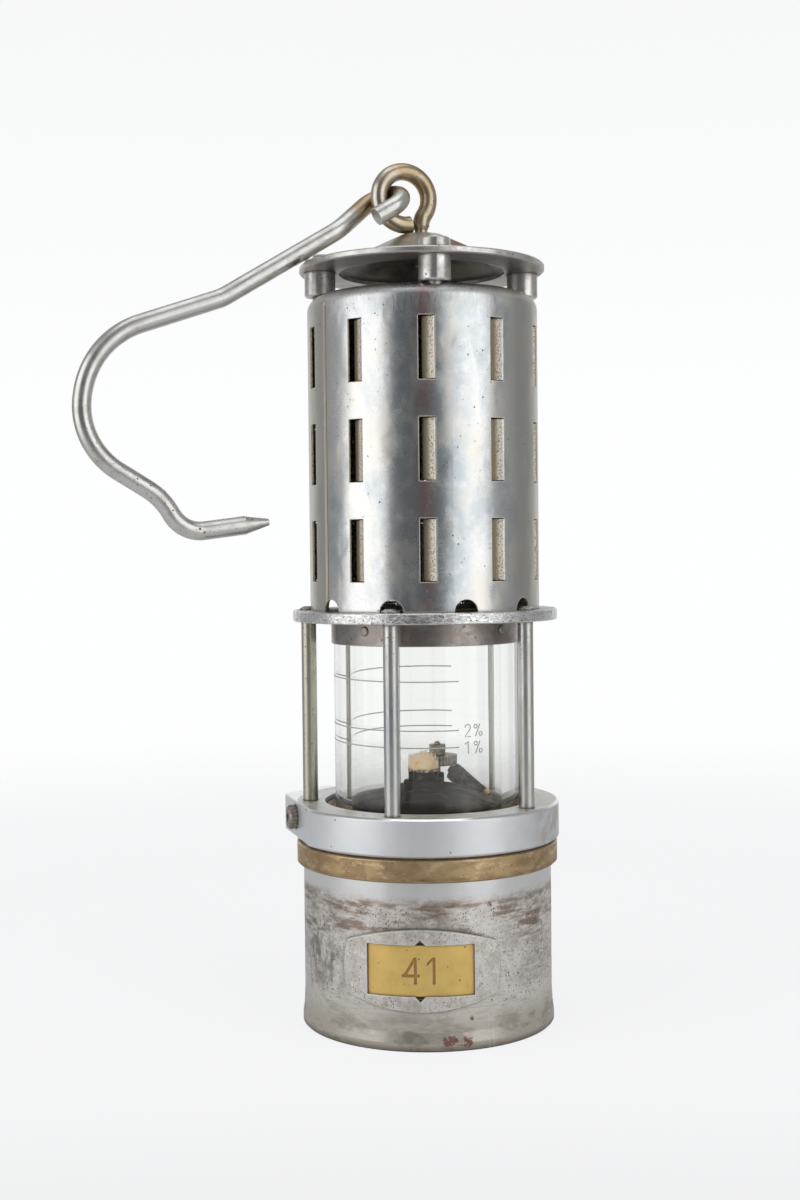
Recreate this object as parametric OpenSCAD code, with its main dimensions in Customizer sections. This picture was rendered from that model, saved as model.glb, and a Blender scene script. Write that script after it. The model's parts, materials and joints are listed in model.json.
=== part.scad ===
// Miner's flame safety lamp with a wick burner, a flint striker and a hanging hook.
// The origin is the middle of the tank's foot, +Z is up and -Y is the front, with the number plate.
// Azimuths turn from the front (0) towards +X (90), seen from above.

/* [Tank] */
// Radius of the tank shell
tank_r = 41.2; // [38:0.1:44]
// Radius of the flared foot
foot_r = 41.9; // [41.6:0.1:43]
// Height of the tank shell
tank_h = 52.9; // [48:0.1:56]
// Wall of the tank shell
tank_wall = 0.8; // [0.6:0.1:0.9]
// Height of the tank's bottom plate above the ground
bottom_z = 5; // [4.8:0.1:6]
// Sheet thickness of the tank's top and bottom plates
plate_t = 1.2; // [0.8:0.1:1.4]

/* [Rings] */
// Radius of the brass neck ring
neck_ring_r = 43.3; // [42.5:0.1:44]
// Height of the brass neck ring
neck_ring_h = 7.3; // [6:0.1:8]
// Outer radius of the screwed neck
neck_r = 36; // [35.8:0.1:36.4]
// Radius of the lower ring
lower_ring_r = 43.9; // [43:0.1:45]
// Height of the lower ring
lower_ring_h = 12.15; // [11.5:0.05:13]
// Radius of the upper ring
upper_ring_r = 43.85; // [43:0.05:45]
// Thickness of the upper ring
upper_ring_t = 3.6; // [3:0.1:4]
// Height of the upper ring's underside
upper_ring_z = 132.8; // [132.5:0.1:134]

/* [Glass and pillars] */
// Outer radius of the glass
glass_r = 30.4; // [30:0.1:30.4]
// Wall of the glass
glass_wall = 5.2; // [4:0.1:5.2]
// Number of pillars
pillar_n = 5; // [3:1:5]
// Radius of a pillar
pillar_r = 2.5; // [2:0.1:2.6]
// Radius of the circle of pillars
pillar_circle = 38.7; // [38:0.1:39.5]
// Azimuth of the first pillar
pillar_az = -16; // [-16:1:-15]

/* [Bonnet] */
// Radius of the bonnet
bonnet_r = 38; // [37.5:0.1:38.5]
// Height of the bonnet's top face above the ground
bonnet_top = 239.2; // [239:0.1:239.2]
// Sheet thickness of the bonnet
bonnet_t = 0.7; // [0.5:0.1:0.9]
// Radius of the bonnet's rounded shoulder
shoulder_r = 5; // [4:0.5:5.5]
// Number of slots in a row
slot_n = 10; // [6:1:10]
// Width of a slot
slot_w = 5.3; // [4:0.1:6]
// Height of a slot
slot_h = 19.8; // [16:0.1:22]
// Height of the lowest row's bottom edge
slot_z = 145.9; // [144:0.1:147]
// Distance between rows
slot_pitch = 31.4; // [28:0.1:33]
// Azimuth of the first slot
slot_az = 2.1; // [0:0.1:4]
// Radius of the notches in the bottom edge
notch_r = 3.9; // [3.5:0.1:4.2]

/* [Cap] */
// Radius of the cap plate
cap_r = 40.5; // [39.5:0.1:41]
// Thickness of the cap plate
cap_t = 2.05; // [1.6:0.05:2.2]
// Length of a spacer
spacer_h = 8; // [7.5:0.5:8]
// Radius of a spacer
spacer_r = 5.1; // [4.5:0.1:5.2]
// Radius of the circle of spacers
spacer_circle = 33.7; // [33:0.1:34]
// Azimuth of the first spacer
spacer_az = 7; // [5:1:8]
// Radius of the cap's pressed dome at its foot
dome_r = 28.7; // [28:0.1:28.7]
// Height of the dome above the cap plate
dome_h = 10.4; // [9:0.1:10.4]

/* [Hook and eyebolt] */
// Azimuth of the plane of the eyebolt's ring and the hook
hook_az = -68.5; // [-69:0.5:-60]
// Radius of the hook's wire
hook_wire = 3; // [2.8:0.1:3]
// Radius of the eyebolt's wire
ring_wire = 2.8; // [2.5:0.1:2.8]
// Radius of the eyebolt's ring, along the middle of its wire
ring_r = 8.7; // [8.5:0.1:8.8]
// Distance of the ring's middle from the lamp's axis
ring_out = 6; // [5.8:0.1:6.2]
// Height of the ring's middle above the ground
ring_z = 271.75; // [271.7:0.05:273]
// Slope of the hook's straight part below level, as it lies on the cap
hook_slope = 31.2; // [28:0.1:31.4]

/* [Burner] */
// Radius of the burner cover
cover_r = 24.4; // [22:0.1:24.5]
// Height of the burner cover's edge above the ground
cover_edge_z = 72.4; // [70:0.1:73]
// Rise of the burner cover's dome
cover_rise = 6.3; // [5:0.1:7]
// Radius of the wick
wick_r = 4.25; // [3.5:0.05:4.25]
// Height of the wick tube's top above the ground
wick_tube_top = 82.5; // [81:0.5:84]
// Height of the wick's top above the ground
wick_top = 88; // [85:0.5:89]
// Slope of the flint tube below level
flint_slope = 34; // [32:1:36]

/* [Number plate] */
// Azimuth of the number plate
label_az = -3.4; // [-10:0.1:10]
// Height of the number plate's middle above the ground
label_z = 25.5; // [24:0.1:27]
// Width of the raised frame
frame_w = 49; // [44:0.5:52]
// Height of the raised frame
frame_h = 25.6; // [24:0.1:27]
// Width of the frame's window
window_w = 33.6; // [30:0.1:35]
// Height of the frame's window
window_h = 16; // [14:0.1:17]

/* [Hidden] */
$fn = 96;
// Radial clearance of a running fit, and the gap left between stacked pieces
run_gap = 0.06;
seat_gap = 0.04;
// Enough to make a cut pass right through
past = 1;
// Heights, from the ground up
neck_z = tank_h + seat_gap;
neck_top = neck_z + neck_ring_h;
washer_t = 0.5;
lower_z = neck_top + washer_t + 2 * seat_gap;
lower_top = lower_z + lower_ring_h;
thread_top = lower_top - 3.4;
ledge_z = thread_top - 3;
tank_top_z = tank_h + 3.1;
// Inside of the neck, below and above the ledge that the glass seat rests on
neck_bore = 31;
seat_r = neck_r - 2.05;
// The lock lug's flat face lies square to this azimuth, at this distance from the axis
lug_az = -73;
lug_out = 42.4;
lock_side = -11;
lock_z = lower_z + 6.6;
lock_r = 1.7;
// Glass and what holds it
seat_floor_t = 1;
gasket_t = 1;
glass_z = ledge_z + 2 * seat_gap + seat_floor_t + gasket_t + 2 * seat_gap;
glass_top = upper_ring_z - 5.3;
gauze_seat_z = glass_top + gasket_t + 2 * seat_gap;
collar_h = 7.4;
upper_top = upper_ring_z + upper_ring_t;
upper_bore = 28.5;
// Gauzes
gauze_t = 0.6;
outer_gauze_r = 26.3;
inner_gauze_r = 23.5;
outer_gauze_top = 233;
inner_gauze_top = 223;
// Cap
cap_z = bonnet_top + spacer_h + 2 * seat_gap;
cap_top = cap_z + cap_t;
head_r = 4.95;
head_h = 3.4;
dome_t = 1.2;
shank_r = 2.1;
// Places of the works, as [x, y]
wick_at = [-1, 0];
spindle_at = [-15, 0];
striker_at = [3.9, 11.2];
filler_at = [14, -14];
spindle_r = 2;
striker_r = 1.1;
wheel_r = 6.9;
wheel_z = 83.2;
flint_r = 1.3;
mouth_out = 6.4;
mouth_z = 81.2;
flint_heading = -33;
flint_tube_r = 3.1;
flint_tube_len = 13.5;

// Places children at an azimuth, with +X pointing outwards
module at_azimuth(az) {
    rotate([0, 0, az - 90])
        children();
}

// Repeats children at equal azimuths
module around(n, first) {
    for (i = [0 : n - 1])
        at_azimuth(first + i * 360 / n)
            children();
}

// A ring or tube standing on z
module tube(outer, inner, z, h) {
    translate([0, 0, z])
        difference() {
            cylinder(h = h, r = outer);
            translate([0, 0, -past])
                cylinder(h = h + 2 * past, r = inner);
        }
}

// A ring with its outer edges broken by a small chamfer
module edged_ring(outer, inner, z, h, edge) {
    translate([0, 0, z])
        rotate_extrude()
            polygon([[inner, 0], [outer - edge, 0], [outer, edge], [outer, h - edge],
                [outer - edge, h], [inner, h]]);
}

// A round bar or hole at [x, y], standing on z
module bar(at, r, z, h) {
    translate([at[0], at[1], z])
        cylinder(h = h, r = r);
}

// One bend of a wire that starts at the origin along +X and turns towards +Z, or -Z if turn is below 0
module bend(radius, turn, r) {
    rotate([turn < 0 ? 180 : 0, 0, 0])
        translate([0, 0, radius])
            rotate([0, 90, 0])
                rotate([90, 0, 0])
                    rotate_extrude(angle = abs(turn))
                        translate([radius, 0])
                            circle(r = r);
}

// Places children at the end of a step, which is a straight length and then a bend
module after_step(step) {
    side = step[2] < 0 ? -1 : 1;
    angle = abs(step[2]);
    translate([step[0] + step[1] * sin(angle), 0, side * step[1] * (1 - cos(angle))])
        rotate([0, -step[2], 0])
            children();
}

// A wire from the origin along +X, made of steps of [straight length, bend radius, turn]. Straights are
// drawn a hair thinner than bends and lap a little way into them, so that each pair is one clean body.
module wire_run(steps, r, i = 0) {
    lap = 0.25;
    hair = 0.01;
    if (i < len(steps)) {
        if (steps[i][0] > 0)
            translate([-lap, 0, 0])
                rotate([0, 90, 0])
                    cylinder(h = steps[i][0] + lap + (steps[i][2] == 0 ? 0 : lap), r = r - hair);
        if (steps[i][2] != 0)
            translate([steps[i][0], 0, 0])
                bend(steps[i][1], steps[i][2], r);
        after_step(steps[i])
            wire_run(steps, r, i + 1);
    }
}

// Places children after the last of the steps of a wire
module after_run(steps, i = 0) {
    if (i < len(steps))
        after_step(steps[i])
            after_run(steps, i + 1)
                children();
    else
        children();
}

// A coil spring standing on the origin
module coil(coil_r, wire_r, pitch, turns) {
    per_turn = 12;
    for (i = [0 : turns * per_turn - 1])
        hull()
            for (k = [i, i + 1])
                rotate([0, 0, k * 360 / per_turn])
                    translate([coil_r, 0, k * pitch / per_turn])
                        rotate([90, 0, 0])
                            cylinder(h = 0.01, r = wire_r, $fn = 8);
}

/* ---- Tank ---- */

module tank_shell() {
    color("#8d8883")
        rotate_extrude()
            polygon([[tank_r - tank_wall, 0], [foot_r - 0.5, 0], [foot_r, 0.5], [foot_r, 2.6],
                [tank_r + 0.25, 6], [tank_r, 11], [tank_r, tank_h], [tank_r - tank_wall, tank_h]]);
}

module tank_bottom() {
    color("#7d7870")
        difference() {
            union() {
                bar([0, 0], tank_r - tank_wall - seat_gap, bottom_z, plate_t);
                tube(tank_r - tank_wall - seat_gap, tank_r - tank_wall - 1, bottom_z - 2, 2.5);
            }
            bar(spindle_at, spindle_r + run_gap, bottom_z - past, plate_t + 2 * past);
            bar(striker_at, 2.2 + seat_gap, bottom_z - past, plate_t + 2 * past);
            bar(filler_at, 7 + run_gap, bottom_z - past, plate_t + 2 * past);
        }
}

module tank_top() {
    color("#6b5a3c")
        difference() {
            bar([0, 0], neck_bore - seat_gap, tank_top_z, plate_t);
            bar(wick_at, 5 + seat_gap, tank_top_z - past, plate_t + 2 * past);
            bar(striker_at, 2.2 + seat_gap, tank_top_z - past, plate_t + 2 * past);
        }
}

module neck_ring() {
    spigot_h = 2.5;
    color("#9a7748")
        difference() {
            union() {
                edged_ring(neck_ring_r, neck_bore, neck_z, neck_ring_h, 0.5);
                tube(tank_r - tank_wall - seat_gap, 38.5, neck_z - spigot_h, spigot_h + 0.5);
                edged_ring(neck_r, neck_bore, neck_top - 0.5, thread_top - neck_top + 0.5 - run_gap, 0.4);
            }
            bar([0, 0], seat_r, ledge_z, 10);
            // Keyway for the tip of the lock screw, open at the top
            at_azimuth(lug_az)
                translate([neck_r - 3, lock_side - lock_r - run_gap, lock_z - lock_r - run_gap])
                    cube([4, 2 * (lock_r + run_gap), 10]);
        }
}

module joint_washer() {
    color("#3a2f26")
        tube(neck_ring_r - 0.6, neck_r + 0.3, neck_top + seat_gap, washer_t);
}

// Outline of the raised frame: two pairs of shallow arcs that meet at its corners
module frame_outline() {
    side_bulge = 30;
    top_bulge = 62;
    intersection() {
        translate([side_bulge - frame_w / 2, 0])
            circle(r = side_bulge);
        translate([frame_w / 2 - side_bulge, 0])
            circle(r = side_bulge);
        translate([0, frame_h / 2 - top_bulge])
            circle(r = top_bulge);
        translate([0, top_bulge - frame_h / 2])
            circle(r = top_bulge);
    }
}

// The window, with a small notch at the middle of its top and bottom
module window_outline() {
    notch = 1.7;
    square([window_w, window_h], center = true);
    for (side = [-1, 1])
        translate([0, side * window_h / 2])
            polygon([[-notch, 0], [notch, 0], [0, side * notch]]);
}

// Extrudes a flat outline outwards through the front of the tank's wall
module through_front() {
    at_azimuth(label_az)
        translate([20, 0, label_z])
            rotate([90, 0, 90])
                linear_extrude(height = 40)
                    children();
}

module label_frame() {
    frame_t = 1.25;
    pocket_t = 0.66;
    color("#a7a49f")
        difference() {
            intersection() {
                tube(tank_r + frame_t, tank_r + 0.01, label_z - frame_h, 2 * frame_h);
                through_front()
                    frame_outline();
            }
            through_front()
                window_outline();
            intersection() {
                bar([0, 0], tank_r + pocket_t, label_z - frame_h, 2 * frame_h);
                through_front()
                    square([window_w + 2.4, window_h + 2.4], center = true);
            }
        }
}

// Digits 4 and 1 as strokes, ten units high
module digit_strokes() {
    stroke = 1.15;
    translate([-6.4, -5]) {
        translate([4, 0])
            square([stroke, 10]);
        translate([-0.4, 2.6])
            square([6.6, stroke]);
        polygon([[-0.4, 2.6], [4, 10], [5.15, 10], [5.15, 9.4], [1, 2.6]]);
    }
    translate([4.4, -5]) {
        square([stroke, 10]);
        polygon([[0, 10], [-2, 8], [-2, 6.7], [0, 8.6]]);
    }
}

module number_plate() {
    digit_scale = 0.85;
    color("#c39a2e")
        difference() {
            intersection() {
                tube(tank_r + 0.62, tank_r + 0.06, label_z - window_h, 2 * window_h);
                through_front()
                    square([window_w + 2, window_h + 2], center = true);
            }
            intersection() {
                tube(tank_r + 2, tank_r + 0.32, label_z - window_h, 2 * window_h);
                through_front()
                    scale(digit_scale)
                        digit_strokes();
            }
        }
}

module cotton_packing() {
    color("#d8d0bd")
        tube(39, 22, 14, 35);
}

module filler_plug() {
    color("#8a6d3b")
        difference() {
            union() {
                bar(filler_at, 9, bottom_z - 3.7, 2.9);
                bar(filler_at, 7, bottom_z - 1, 7);
            }
            translate([filler_at[0], filler_at[1], bottom_z - 3.7])
                cube([20, 1.8, 2.4], center = true);
        }
}

module filler_washer() {
    color("#4a3b2c")
        translate([filler_at[0], filler_at[1], 0])
            tube(8.6, 7 + run_gap, bottom_z - 0.76, 0.7);
}

/* ---- Burner and wick ---- */

// The flint tube's axis starts at its mouth under the wheel's rim and slopes down and outwards
module along_flint() {
    translate([striker_at[0], striker_at[1], mouth_z])
        rotate([0, 0, flint_heading])
            translate([mouth_out, 0, 0])
                rotate([0, 90 + flint_slope, 0])
                    children();
}

module burner_cover() {
    cover_t = 0.8;
    ball = (cover_r * cover_r + cover_rise * cover_rise) / (2 * cover_rise);
    ball_z = cover_edge_z + cover_rise - ball;
    foot = tank_top_z + plate_t + seat_gap;
    color("#4a3a26")
        difference() {
            union() {
                tube(cover_r, cover_r - cover_t, foot, cover_edge_z - foot);
                intersection() {
                    difference() {
                        translate([0, 0, ball_z])
                            sphere(r = ball);
                        translate([0, 0, ball_z])
                            sphere(r = ball - cover_t);
                    }
                    bar([0, 0], cover_r, cover_edge_z - cover_t, 20);
                }
                bar(wick_at, 6.6, cover_edge_z + cover_rise - 2, 2.6);
                bar(striker_at, 2.3, cover_edge_z + cover_rise - 4.5, 6.1);
            }
            bar(wick_at, 5 + seat_gap, foot - past, 40);
            bar(striker_at, striker_r + run_gap, foot - past, 40);
            along_flint()
                cylinder(h = flint_tube_len + 3, r = flint_tube_r + seat_gap);
        }
}

module wick_tube() {
    color("#3c2f22")
        translate([wick_at[0], wick_at[1], 0])
            difference() {
                tube(5, wick_r + run_gap, 48, wick_tube_top - 48);
                // Air slits in the upper end
                for (a = [0 : 90 : 270])
                    rotate([0, 0, a + 45])
                        translate([0, -0.4, wick_tube_top - 1.6])
                            cube([8, 0.8, 4]);
            }
}

module wick() {
    color("#c9a765")
        bar(wick_at, wick_r, 25, wick_top - 25);
}

module wick_carrier() {
    z = 23;
    h = 6;
    color("#8a6d3b")
        difference() {
            union() {
                bar(wick_at, 5.8, z, h);
                bar(spindle_at, 4.2, z, h);
                translate([spindle_at[0], -2.2, z])
                    cube([wick_at[0] - spindle_at[0], 4.4, h]);
            }
            bar(wick_at, wick_r + seat_gap, z + 1.9, h);
            bar(spindle_at, spindle_r + run_gap, z - past, h + 2 * past);
        }
}

module wick_spindle() {
    color("#77716a")
        bar(spindle_at, spindle_r, 1.4, 43);
}

module spindle_gland() {
    z = bottom_z + plate_t + seat_gap;
    color("#8a6d3b")
        translate([spindle_at[0], spindle_at[1], 0])
            union() {
                tube(5, spindle_r + run_gap, z, 2.2);
                tube(3.8, spindle_r + run_gap, z + 2.2, 3);
            }
}

// A small finger knob with flutes round its edge, standing on z
module fluted_knob(at, r, z, h, bore, flutes) {
    translate([at[0], at[1], z])
        difference() {
            cylinder(h = h, r = r);
            translate([0, 0, -past])
                cylinder(h = h + 2 * past, r = bore);
            for (i = [0 : flutes - 1])
                rotate([0, 0, i * 360 / flutes])
                    translate([r + 0.45, 0, -past])
                        cylinder(h = h + 2 * past, r = 0.9, $fn = 24);
        }
}

module wick_knob() {
    color("#8a6d3b")
        fluted_knob(spindle_at, 6.5, 1, 3.4, spindle_r + 0.01, 16);
}

/* ---- Striker ---- */

module striker_tube() {
    color("#8a6d3b")
        translate([striker_at[0], striker_at[1], 0])
            tube(2.2, striker_r + run_gap, bottom_z - 0.2, tank_top_z + plate_t - bottom_z + 0.4);
}

module striker_shaft() {
    color("#5d5750")
        union() {
            bar(striker_at, striker_r, 1.4, 89.2);
            translate([striker_at[0], striker_at[1], 90.4])
                cylinder(h = 0.6, r1 = striker_r, r2 = striker_r - 0.5);
        }
}

// A toothed disc, which the flint bears on from below, with a hub on top
module striker_wheel() {
    teeth = 36;
    disc_h = 3.2;
    hub_h = 3.5;
    color("#3d3a36")
        translate([striker_at[0], striker_at[1], wheel_z])
            difference() {
                union() {
                    cylinder(h = disc_h, r = wheel_r);
                    cylinder(h = disc_h + hub_h, r = 2.85);
                }
                translate([0, 0, -past])
                    cylinder(h = disc_h + hub_h + 2 * past, r = striker_r + 0.01);
                for (i = [0 : teeth - 1])
                    rotate([0, 0, (i + 0.5) * 360 / teeth])
                        translate([wheel_r + 0.1, 0, -past])
                            cylinder(h = disc_h + 2 * past, r = 0.35, $fn = 16);
            }
}

module striker_spring() {
    color("#6f6a64")
        translate([striker_at[0], striker_at[1], tank_top_z + plate_t + 1])
            coil(2.1, 0.35, 1.2, 8);
}

module striker_key() {
    color("#8a6d3b")
        difference() {
            union() {
                fluted_knob(striker_at, 4.5, 1, 3, striker_r + 0.01, 12);
                translate([striker_at[0] + striker_r + 0.5, striker_at[1] - 0.8, 1])
                    cube([7, 1.6, 2.6]);
            }
        }
}

module flint_tube() {
    color("#4a3a26")
        along_flint()
            tube(flint_tube_r, flint_r + run_gap, 0, flint_tube_len);
}

module flint() {
    color("#2e2c2a")
        along_flint()
            translate([0, 0, -1.5])
                cylinder(h = 6, r = flint_r);
}

module flint_spring() {
    color("#6f6a64")
        along_flint()
            translate([0, 0, 4.9])
                coil(0.95, 0.25, 0.9, 7);
}

module flint_plug() {
    color("#8a6d3b")
        along_flint()
            difference() {
                union() {
                    translate([0, 0, flint_tube_len + seat_gap])
                        cylinder(h = 2, r = flint_tube_r - 0.1);
                    translate([0, 0, flint_tube_len - 1.6])
                        cylinder(h = 2, r = flint_r);
                }
                translate([-0.4, -5, flint_tube_len + 1.3])
                    cube([0.8, 10, 2]);
            }
}

/* ---- Lower ring and glass ---- */

// The lug's plan, with +X square to its flat face and -Y towards the back
module lug_plan() {
    polygon([[38, -2], [37, -15], [21, -36.2], [22.8, -40.8], [25.5, -40.5],
        [lug_out - 1.6, -28.6], [lug_out + 1, -26], [lug_out + 1, -2]]);
}

module lower_ring() {
    color("#b3bcc4")
        difference() {
            union() {
                edged_ring(lower_ring_r, seat_r - 0.3, lower_z, lower_ring_h, 0.7);
                at_azimuth(lug_az)
                    translate([0, 0, lower_z + 0.3])
                        linear_extrude(height = lower_ring_h - 0.35)
                            lug_plan();
            }
            translate([0, 0, lower_z - past])
                cylinder(h = thread_top - lower_z + past, r = neck_r + run_gap);
            translate([0, 0, thread_top - 0.01])
                cylinder(h = 10, r = seat_r + run_gap);
            // The flat that the lock screw's head bears on
            at_azimuth(lug_az)
                translate([lug_out, -60, lower_z - past])
                    cube([10, 90, lower_ring_h + 2 * past]);
            around(pillar_n, pillar_az)
                translate([pillar_circle, 0, lower_top - 1.9])
                    cylinder(h = 5, r = 1.7 + seat_gap);
            at_azimuth(lug_az)
                translate([20, lock_side, lock_z])
                    rotate([0, 90, 0])
                        cylinder(h = 40, r = lock_r + run_gap);
        }
}

module lock_screw() {
    screw_head_r = 4;
    screw_head_h = 2.7;
    grips = 18;
    color("#4a4640")
        at_azimuth(lug_az)
            translate([lug_out + seat_gap, lock_side, lock_z])
                rotate([0, 90, 0])
                    difference() {
                        union() {
                            cylinder(h = screw_head_h - 0.6, r = screw_head_r);
                            translate([0, 0, screw_head_h - 0.6])
                                cylinder(h = 0.6, r1 = screw_head_r, r2 = screw_head_r - 0.8);
                            translate([0, 0, -8.6])
                                cylinder(h = 9, r = lock_r);
                        }
                        for (i = [0 : grips - 1])
                            rotate([0, 0, i * 360 / grips])
                                translate([screw_head_r + 0.25, 0, -past])
                                    cylinder(h = 6, r = 0.5, $fn = 16);
                        translate([0, 0, screw_head_h - 0.5])
                            cylinder(h = 2, r = 1.5);
                    }
}

module glass_seat() {
    z = ledge_z + 2 * seat_gap;
    color("#7c6a55")
        translate([0, 0, z])
            rotate_extrude()
                polygon([[glass_r - 4.8, 0], [seat_r - 0.1, 0], [seat_r - 0.1, 4.6],
                    [glass_r + 2.2, 4.6], [glass_r + 1.6, 3.4], [glass_r + 0.4, 3.4],
                    [glass_r + 0.4, seat_floor_t], [glass_r - 4.8, seat_floor_t]]);
}

module lower_gasket() {
    color("#8b7a66")
        tube(glass_r, glass_r - glass_wall + 0.6, glass_z - gasket_t - seat_gap, gasket_t);
}

module lamp_glass() {
    color("#dfe9ea", 0.3)
        tube(glass_r, glass_r - glass_wall, glass_z, glass_top - glass_z);
}

module upper_gasket() {
    color("#8b7a66")
        tube(glass_r, glass_r - glass_wall + 0.6, glass_top + seat_gap, gasket_t);
}

module gauze_seat() {
    color("#6e6357")
        difference() {
            tube(glass_r, inner_gauze_r - 0.5, gauze_seat_z, upper_ring_z - gauze_seat_z - seat_gap);
            around(4, -38)
                translate([glass_r - 1.8, 0, gauze_seat_z + 1.6])
                    rotate([0, 90, 0])
                        cylinder(h = 5, r = 1 + seat_gap);
        }
}

module glass_collar() {
    z = upper_ring_z - seat_gap - collar_h;
    color("#85796d")
        difference() {
            edged_ring(glass_r + 0.8, glass_r + 0.1, z, collar_h, 0.15);
            around(4, -38)
                translate([glass_r - 2, 0, gauze_seat_z + 1.6])
                    rotate([0, 90, 0])
                        cylinder(h = 5, r = 1 + seat_gap);
        }
}

module collar_rivets() {
    color("#776d63")
        around(4, -38)
            translate([glass_r - 1.7, 0, gauze_seat_z + 1.6])
                rotate([0, 90, 0])
                    union() {
                        cylinder(h = 2.6, r = 1);
                        translate([0, 0, 2.6])
                            cylinder(h = 0.4, r1 = 1.5, r2 = 1.1);
                    }
}

module pillars() {
    color("#a9acad")
        around(pillar_n, pillar_az)
            translate([pillar_circle, 0, 0]) {
                bar([0, 0], pillar_r, lower_top + seat_gap, upper_ring_z - lower_top - 2 * seat_gap);
                bar([0, 0], 1.7, lower_top - 1.8, 2.5);
                bar([0, 0], 1.9, upper_ring_z - 0.5, upper_ring_t + 0.6);
                bar([0, 0], 2.9, upper_top + seat_gap, 0.5);
                translate([0, 0, upper_top + seat_gap + 0.5])
                    cylinder(h = 0.7, r1 = 2.9, r2 = 1.7);
            }
}

module upper_ring() {
    color("#9c9d9c")
        difference() {
            edged_ring(upper_ring_r, upper_bore, upper_ring_z, upper_ring_t, 0.35);
            around(pillar_n, pillar_az)
                translate([pillar_circle, 0, upper_ring_z - past])
                    cylinder(h = upper_ring_t + 2 * past, r = 1.9 + seat_gap);
        }
}

/* ---- Gauzes and bonnet ---- */

module gauze_ring() {
    color("#7a6236")
        tube(upper_bore - 0.1, inner_gauze_r - gauze_t - 0.1, upper_ring_z, upper_ring_t - 0.4);
}

// A closed-top gauze cylinder
module gauze_cylinder(r, z, top) {
    difference() {
        bar([0, 0], r, z, top - z);
        bar([0, 0], r - gauze_t, z - past, top - z + past - gauze_t);
    }
}

module inner_gauze() {
    color("#4c4a47")
        gauze_cylinder(inner_gauze_r, upper_top - 0.35, inner_gauze_top);
}

module outer_gauze() {
    color("#4c4a47")
        gauze_cylinder(outer_gauze_r, upper_top - 0.35, outer_gauze_top);
}

module gauze_cap() {
    color("#5a5753")
        gauze_cylinder(outer_gauze_r + gauze_t + seat_gap, outer_gauze_top - 24,
            outer_gauze_top + gauze_t + seat_gap);
}

// Half section of the bonnet's outside, drawn in by a margin
module bonnet_section(margin) {
    corner = shoulder_r - margin;
    top = bonnet_top - upper_top - margin;
    edge_r = bonnet_r - margin;
    square([edge_r, top - corner]);
    square([edge_r - corner, top]);
    translate([edge_r - corner, top - corner])
        circle(r = corner);
}

// Plan of a louvre flap: a short bend inwards and a straight leaf, starting at the origin
module flap_plan() {
    bend_r = 1.6;
    leaf = 4;
    turn = 30;
    intersection() {
        difference() {
            translate([0, bend_r])
                circle(r = bend_r);
            translate([0, bend_r])
                circle(r = bend_r - bonnet_t);
        }
        polygon([[0, bend_r], [0, -1], [-bend_r * 3 * sin(turn), bend_r - bend_r * 3 * cos(turn)]]);
    }
    translate([0, bend_r])
        rotate(-turn)
            translate([-leaf, -bend_r])
                square([leaf + 0.3, bonnet_t]);
    // Foot that merges into the sheet beside the slot
    translate([-0.05, 0.06])
        square([0.9, bonnet_t - 0.12]);
}

module bonnet() {
    sheet_z = upper_top + seat_gap;
    top_opening = 27;
    edge = asin(slot_w / 2 / bonnet_r);
    color("#a3a8ad")
        difference() {
            union() {
                difference() {
                    translate([0, 0, upper_top])
                        rotate_extrude()
                            difference() {
                                bonnet_section(0);
                                bonnet_section(bonnet_t);
                                translate([0, -past])
                                    square([top_opening, 200]);
                            }
                    for (row = [0 : 2])
                        around(slot_n, slot_az)
                            translate([bonnet_r - 4, -slot_w / 2, slot_z + row * slot_pitch])
                                cube([8, slot_w, slot_h]);
                }
                // Each flap starts a little inside the sheet, where the two merge
                for (row = [0 : 2])
                    around(slot_n, slot_az + edge + 0.4)
                        translate([bonnet_r - 0.05, 0, slot_z + row * slot_pitch + 0.3])
                            rotate([0, 0, 90])
                                linear_extrude(height = slot_h - 0.6)
                                    flap_plan();
            }
            bar([0, 0], 60, upper_top - past, past + seat_gap);
            around(slot_n, slot_az + 180 / slot_n)
                translate([bonnet_r - 4, 0, sheet_z])
                    rotate([0, 90, 0])
                        cylinder(h = 8, r = notch_r);
            around(4, spacer_az)
                translate([spacer_circle, 0, bonnet_top - 5])
                    cylinder(h = 10, r = 2.4 + seat_gap);
            // Lap seam of the rolled sheet
            at_azimuth(-55.4)
                translate([bonnet_r - 0.35, 0, upper_top - past])
                    cube([2, 0.45, bonnet_top - upper_top - shoulder_r + past]);
        }
}

/* ---- Cap ---- */

module cap_spacers() {
    color("#b9b8b2")
        around(4, spacer_az)
            translate([spacer_circle, 0, bonnet_top + seat_gap])
                difference() {
                    union() {
                        cylinder(h = 0.5, r1 = spacer_r - 0.5, r2 = spacer_r);
                        translate([0, 0, 0.5])
                            cylinder(h = spacer_h - 0.5, r = spacer_r);
                    }
                    translate([0, 0, -past])
                        cylinder(h = spacer_h + 2 * past, r = 2.4 + seat_gap);
                }
}

// One rivet from the tail up, with a flat head that is rounded at its edge
module cap_rivet(tail_z) {
    rounding = 0.8;
    head_z = cap_top + seat_gap;
    bar([0, 0], 2.4, tail_z - 1, cap_top - tail_z + 1.2);
    bar([0, 0], head_r, head_z, head_h - rounding);
    translate([0, 0, head_z + head_h - rounding - 0.1])
        rotate_extrude()
            union() {
                square([head_r - rounding, rounding + 0.1]);
                translate([head_r - rounding, 0.1])
                    intersection() {
                        circle(r = rounding);
                        square(2);
                    }
            }
}

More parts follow.
